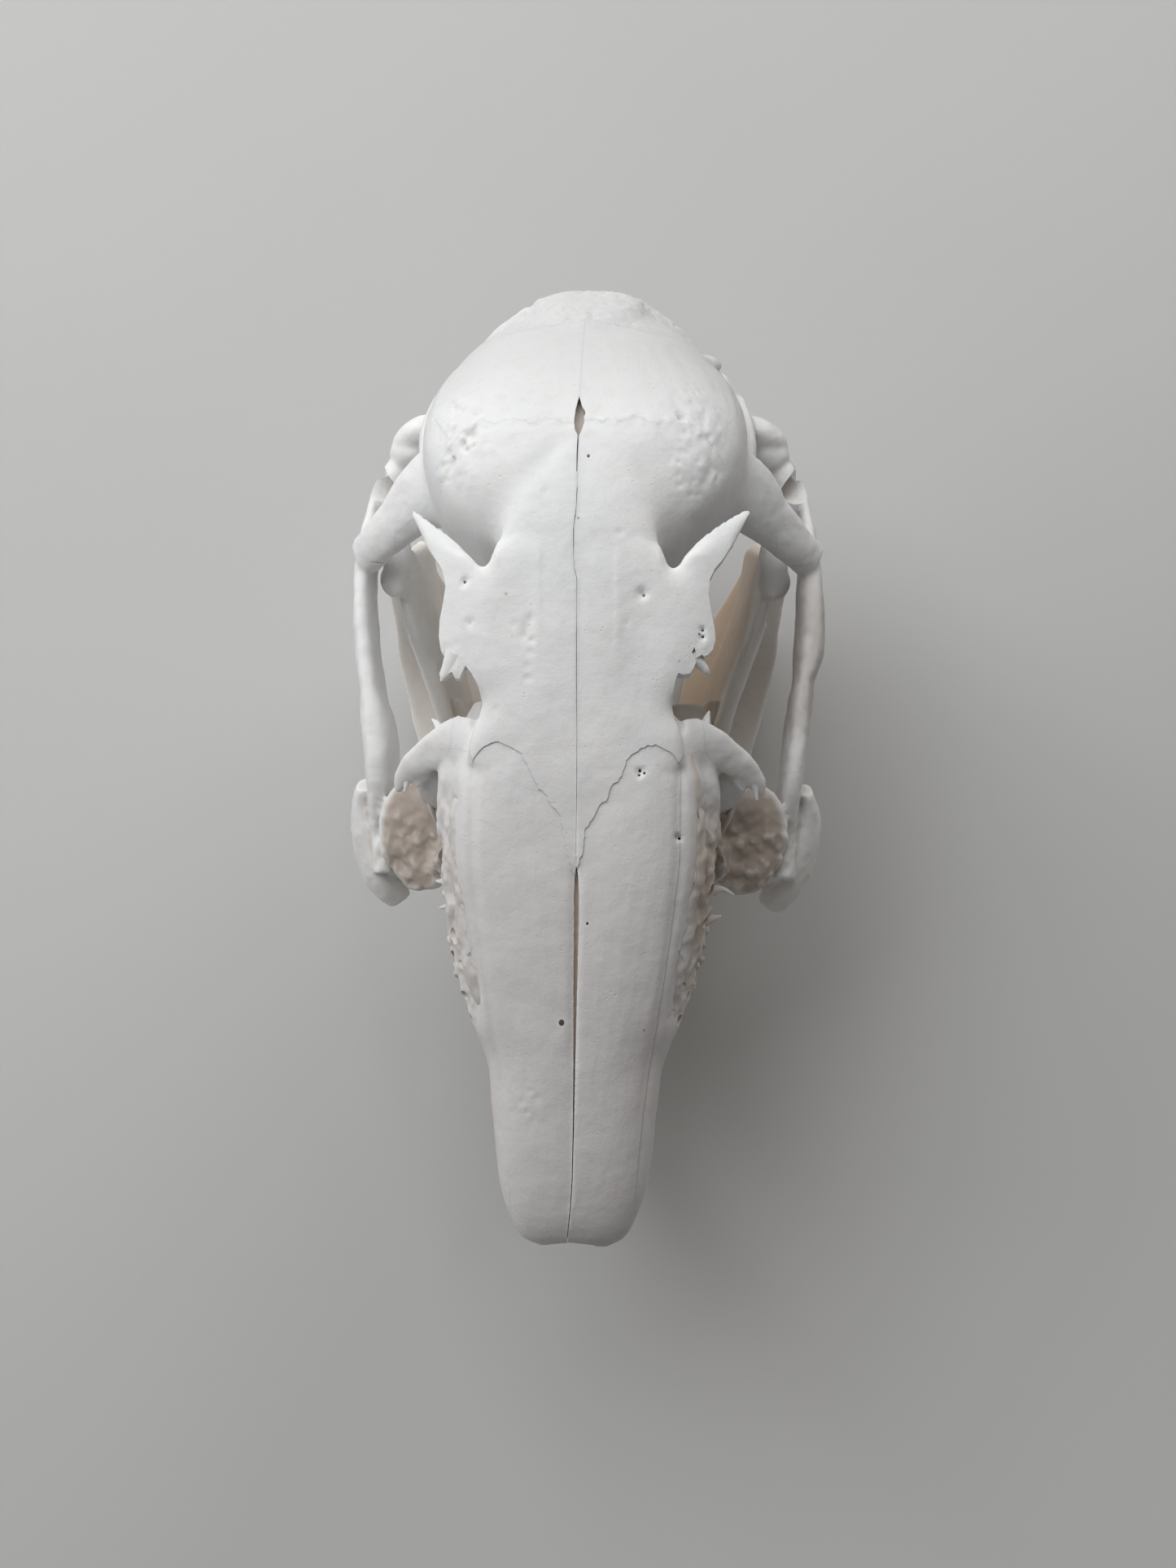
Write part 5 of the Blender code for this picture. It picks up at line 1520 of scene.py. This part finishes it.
# edge is the colour of a painted highlight on convex edges
# hollow is the colour of painted shade in hollows, and also the tone of the mottling and pores
# nape is painted shade for the back of the braincase's top
# nose and deep are the nose's pink and the low parts' yellow, both darkened as painted shade
bonePalette = {
    "pale": (0.87, 0.87, 0.87), "cool": (0.81, 0.82, 0.825), "warm": (0.85, 0.82, 0.785), "edge": (0.91, 0.905, 0.90),
    "hollow": (0.62, 0.56, 0.50), "nape": (0.66, 0.66, 0.66), "nose": (0.66, 0.64, 0.635), "deep": (0.80, 0.76, 0.71),
    "speck": (0.30, 0.24, 0.19),
}
boneFinish = {  # strength of the painted shade in hollows, colour of tanned bone and of painted shade, roughness from and to, strength of streaks
    "roof": {"hollow": 0.35, "tanAndShade": (0.48, 0.43, 0.40), "rough": (0.42, 0.62), "streaks": 0.0},
    "snout": {"hollow": 0.35, "tanAndShade": (0.64, 0.54, 0.46), "rough": (0.34, 0.54), "streaks": 1.0},
    "deep": {"hollow": 0.6, "tanAndShade": (0.45, 0.385, 0.335), "rough": (0.34, 0.56), "streaks": 0.0},
    "jaw": {"hollow": 0.5, "tanAndShade": (0.60, 0.465, 0.345), "rough": (0.36, 0.58), "streaks": 0.0},
}


def boneMaterial(name, look):
    f = Finish(name)
    broad = f.noise(9, detail=3, shift=3.1)
    blotch = f.noise(2.6, detail=4, roughness=0.6, shift=7.7)
    grain = f.noise(0.5, detail=5, roughness=0.65)
    fine = f.noise(0.16, detail=3, roughness=0.6, shift=1.3)
    hollow = f.attribute("hollow")
    edge = f.attribute("edge")
    # the bone turns pinker towards the nose and yellower towards the table, and darker in both places as painted
    # shade
    front = f.lengthwise(16, 56, 1.0, 0.0) * f.upward(24, 42)
    low = f.upward(8, 42, 0.9, 0.0)
    colour = f.mix(broad.ramp(0.35, 0.65), bonePalette["pale"], bonePalette["cool"])
    colour = f.mix(blotch.ramp(0.5, 0.78) * 0.3, colour, bonePalette["warm"])
    colour = f.mix(front, colour, bonePalette["nose"])
    colour = f.mix(low, colour, bonePalette["deep"])
    # painted shade: the back of the braincase's top greyed darker
    nape = f.lengthwise(60, 73, 0.0, 0.85) * f.upward(38, 44)
    colour = f.mix(nape, colour, bonePalette["nape"])
    mottle = f.noise(1.1, detail=3, roughness=0.55, shift=4.4)
    colour = f.mix(mottle.ramp(0.5, 0.72) * 0.14, colour, bonePalette["hollow"])
    # tan colour for tanned bone and for painted shade on the right side and under the cranium
    colour = f.mix(f.attribute("tanAndShade"), colour, look["tanAndShade"])
    # painted shade in the hollows
    colour = f.mix(hollow.ramp(0.3, 1.0) * look["hollow"], colour, bonePalette["hollow"])
    # painted highlight: convex edges made lighter
    colour = f.mix(edge.ramp(0.2, 0.9) * 0.3, colour, bonePalette["edge"])
    pores = f.cells(0.55).ramp(0.10, 0.20, 1.0, 0.0) * blotch.ramp(0.52, 0.66)
    colour = f.mix(pores * 0.25, colour, bonePalette["hollow"])
    specks = f.cells(2.6).ramp(0.03, 0.055, 1.0, 0.0) * f.noise(5, detail=2, shift=11.3).ramp(0.52, 0.6)
    colour = f.mix(specks * 0.6, colour, bonePalette["speck"])
    roughness = (grain * 0.6 + blotch * 0.4).ramp(0.3, 0.7, *look["rough"]) + hollow.ramp(0.1, 0.8) * 0.12
    height = grain * 0.7 + fine * 0.3 + mottle * 0.6 - pores * 0.6 - specks * 0.4
    if look["streaks"]:
        streaks = f.noise(0.35, detail=3, stretch=(1, 0.09, 1), shift=5.5)
        height += streaks * 0.4 * look["streaks"]
    normal = f.bump(height, 0.45, 0.1)
    values = {"Base Color": colour, "Roughness": roughness, "Normal": normal}
    constants = {
        "Subsurface Weight": 0.12, "Subsurface Radius": (1.0, 0.75, 0.55), "Subsurface Scale": 0.8 * mm,
        "Specular IOR Level": 0.42,
    }
    return f.finish(values, constants)


toothFinish = {"enamel": (0.84, 0.79, 0.68), "neck": (0.70, 0.58, 0.40), "dentine": (0.72, 0.60, 0.44)}


def toothMaterial():
    f = Finish("tooth")
    hollow = f.attribute("hollow")
    stain = f.noise(1.6, detail=4, roughness=0.6)
    lines = f.noise(0.14, detail=3, stretch=(1, 1, 0.08), shift=2.2)
    colour = f.mix(stain.ramp(0.35, 0.75) * 0.6, toothFinish["enamel"], toothFinish["neck"])
    colour = f.mix(hollow.ramp(0.1, 0.6) * 0.8, colour, toothFinish["dentine"])
    roughness = stain.ramp(0.3, 0.7, 0.16, 0.34)
    normal = f.bump(lines * 0.6 + stain * 0.4, 0.25, 0.04)
    constants = {"Subsurface Weight": 0.15, "Subsurface Radius": (1.0, 0.8, 0.5), "Subsurface Scale": 0.6 * mm}
    return f.finish({"Base Color": colour, "Roughness": roughness, "Normal": normal}, constants)


materials = {key: boneMaterial(f"{key}_bone", look) for key, look in boneFinish.items()}
materials["tooth"] = toothMaterial()


# Finishing: hollowness as an attribute, millimetres to metres, place in the row's frame

def tanAndShadeShare(mesh, name):  # how much tan colour is mixed in: tanned bone, and painted shade on the right side and under the cranium
    points, normals = readPoints(mesh)
    x, y, z = np.abs(points[:, 0]), points[:, 1], points[:, 2]
    side = 1 if name.endswith("right_bone") else -1
    below = roof(y) - z
    share = np.zeros(len(points))
    if name.startswith("mandible"):  # the inner side, in painted shade under the cranium, strong on the right jaw and slight on the left
        share = fade(-normals[:, 0] * side, -0.5, 0.3) * fade(y, 34, 38) * (1 - fade(z, 28, 33))
        share *= 1 - fade(x - 14.9 - 0.55 * (y - 54.5), -0.5, 0.8)
        share *= 1.0 if side > 0 else 0.12
    elif name == "incisive_right_bone":
        # brown low on the snout's right side, deepened as painted shade
        share = 0.85 * fade(x, 8.4, 9.4) * fade(below, 1.9, 3.1) * fade(y, 14, 20)
    elif name.startswith("nasal"):  # in the gap between the two
        share = fade(below, 0.25, 0.6) * (1 - fade(x, 0.5, 0.8))
    elif name.startswith("maxilla"):  # the cheek plate and the spongy wall; the wall is browner on the right as painted shade
        plate = np.hypot((x - 14.4) / 3.0, (y - 33.3) / 4.8)
        share = (1 - fade(plate, 0.9, 1.15)) * fade(normals[:, 2], -0.2, 0.3)
        share *= fade(z, 31, 33) * (1 - fade(z, 39.5, 41))
        wall = (1.0 if side > 0 else 0.3) * fade(x, 8.6, 10) * (1 - fade(x, 11.5, 12.5)) * (1 - fade(y, 30, 36))
        share = np.maximum(share, wall * fade(below, 1.9, 3.1))
        if side > 0:
            # painted shade on the right, behind the cheek plate
            back = fade(y, 36.5, 38) * (1 - fade(z, 35, 39)) * (1 - fade(x, 12.5, 13.5))
            share = np.maximum(share, 0.9 * back)
    elif name.startswith(("frontal", "parietal")):  # in the hole where they meet
        share = fade(below, 0.3, 0.6) * (1 - fade(x, 0.5, 0.8)) * fade(y, 58, 60) * (1 - fade(y, 65.5, 66.5))
    elif name == "zygomatic_right_bone":
        # darker and browner along the middle of the right cheek arch
        share = 0.75 * fade(y, 40, 45) * (1 - fade(y, 54, 58))
    return share


def publish(obj, name, material, nodes, sharp=50):
    mesh = obj.data
    obj.name = name
    mesh.name = name
    if "hollow" not in mesh.attributes:
        addRelief(mesh)
    addAttribute(mesh, "tanAndShade", tanAndShadeShare(mesh, name))
    mesh.transform(Matrix.Translation(frameShift * mm) @ Matrix.Scale(mm, 4))
    mesh.materials.clear()
    mesh.materials.append(material)
    mesh.shade_smooth()
    mesh.set_sharp_from_angle(angle=math.radians(sharp))
    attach(obj, "root")
    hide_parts(*nodes)


looksOfBones = {
    "nasal": "snout", "incisive": "snout", "maxilla": "deep", "bulla": "deep", "sphenoid": "deep", "mandible": "jaw",
}
deepSlots = ("maxilla", "bulla", "mandible", "sphenoid")
for key, bone in {**bones, **jaws}.items():
    kind = key.split("_")[0]
    slot = "deep_bone" if kind in deepSlots else "roof_bone"
    publish(bone, f"{key}_bone", materials[looksOfBones.get(kind, "roof")], [key])
carriers = {"upper_cheek_teeth": "maxilla", "lower_cheek_teeth": "mandible", "peg_tooth": "upper_incisor"}
for key, tooth in teeth.items():
    kind, name = key.rsplit("_", 1)
    node = f"{carriers[kind]}_{name}" if kind in carriers else key
    publish(tooth, f"{key}_piece", materials["tooth"], [node], sharp=38)
triangles = {obj.name: sum(len(p.vertices) - 2 for p in obj.data.polygons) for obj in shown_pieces()}
say(f"{len(triangles)} pieces, {sum(triangles.values())} triangles, most in one {max(triangles.values())}")


# Floor, light and camera

floorShades = ((0.56, 0.56, 0.555), (0.53, 0.53, 0.53))
bm = bmesh.new()
bmesh.ops.create_grid(bm, x_segments=1, y_segments=1, size=1.5)
floorMesh = bpy.data.meshes.new("floor")
bm.to_mesh(floorMesh)
bm.free()
floor = bpy.data.objects.new("floor", floorMesh)
bpy.context.scene.collection.objects.link(floor)
floorFinish = Finish("floor")
floorTone = floorFinish.mix(floorFinish.noise(60, detail=3).ramp(0.3, 0.7) * 0.3, *floorShades)
floorConstants = {"Roughness": 0.8, "Specular IOR Level": 0.2}
floorMesh.materials.append(floorFinish.finish({"Base Color": floorTone}, floorConstants))

lights = {  # place and width in metres, power in watts
    "key": {"place": (-0.13, 0.20, 0.38), "size": 0.34, "power": 1.18, "tint": (0.96, 0.985, 1.0)},
    "side": {"place": (-0.42, 0.12, 0.22), "size": 0.40, "power": 0.77, "tint": (1.0, 0.99, 0.98)},
    "rim": {"place": (0.18, 0.36, 0.28), "size": 0.36, "power": 0.70, "tint": (1.0, 0.975, 0.95)},
}
aim = Vector((0, 0, 0.03))
for name, light in lights.items():
    lamp = bpy.data.lights.new(name, "AREA")
    lamp.size, lamp.energy, lamp.color = light["size"], light["power"], light["tint"]
    lampObject = bpy.data.objects.new(name, lamp)
    bpy.context.scene.collection.objects.link(lampObject)
    place = Vector(light["place"])
    lampObject.matrix_world = Matrix.Translation(place) @ (place - aim).to_track_quat("Z", "Y").to_matrix().to_4x4()
surround = {"Color": (1.0, 0.95, 0.90, 1), "Strength": 0.12}
world = bpy.data.worlds.new("studio")
world.use_nodes = True
for key, value in surround.items():
    world.node_tree.nodes["Background"].inputs[key].default_value = value
bpy.context.scene.world = world
bpy.context.scene.view_settings.view_transform = "Standard"

cameraView = {  # in skull millimetres; focal length and picture height in pixels of the photograph
    "place": (5.5, 7.8, 187.5),
    "target": (0.58, 37.1, 40.0),
    "roll": 1.07,
    "focal": 2184,
    "pictureHeight": 1927,
    "sensor": 36,
}
place, target = (Vector(cameraView[key]) * mm + frameShift * mm for key in ("place", "target"))
back = (place - target).normalized()
right = Vector((0, 1, 0)).cross(back).normalized()
turned = Matrix((right, back.cross(right), back)).transposed().to_4x4()
roll = Matrix.Rotation(math.radians(cameraView["roll"]), 4, "Z")
camera = bpy.data.cameras.new("camera")
camera.sensor_width = cameraView["sensor"]
camera.lens = cameraView["focal"] / cameraView["pictureHeight"] * cameraView["sensor"]
camera.clip_start = 0.005
cameraObject = bpy.data.objects.new("camera", camera)
bpy.context.scene.collection.objects.link(cameraObject)
cameraObject.matrix_world = Matrix.Translation(place) @ turned @ roll
bpy.context.scene.camera = cameraObject

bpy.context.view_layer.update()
say("scene ready")
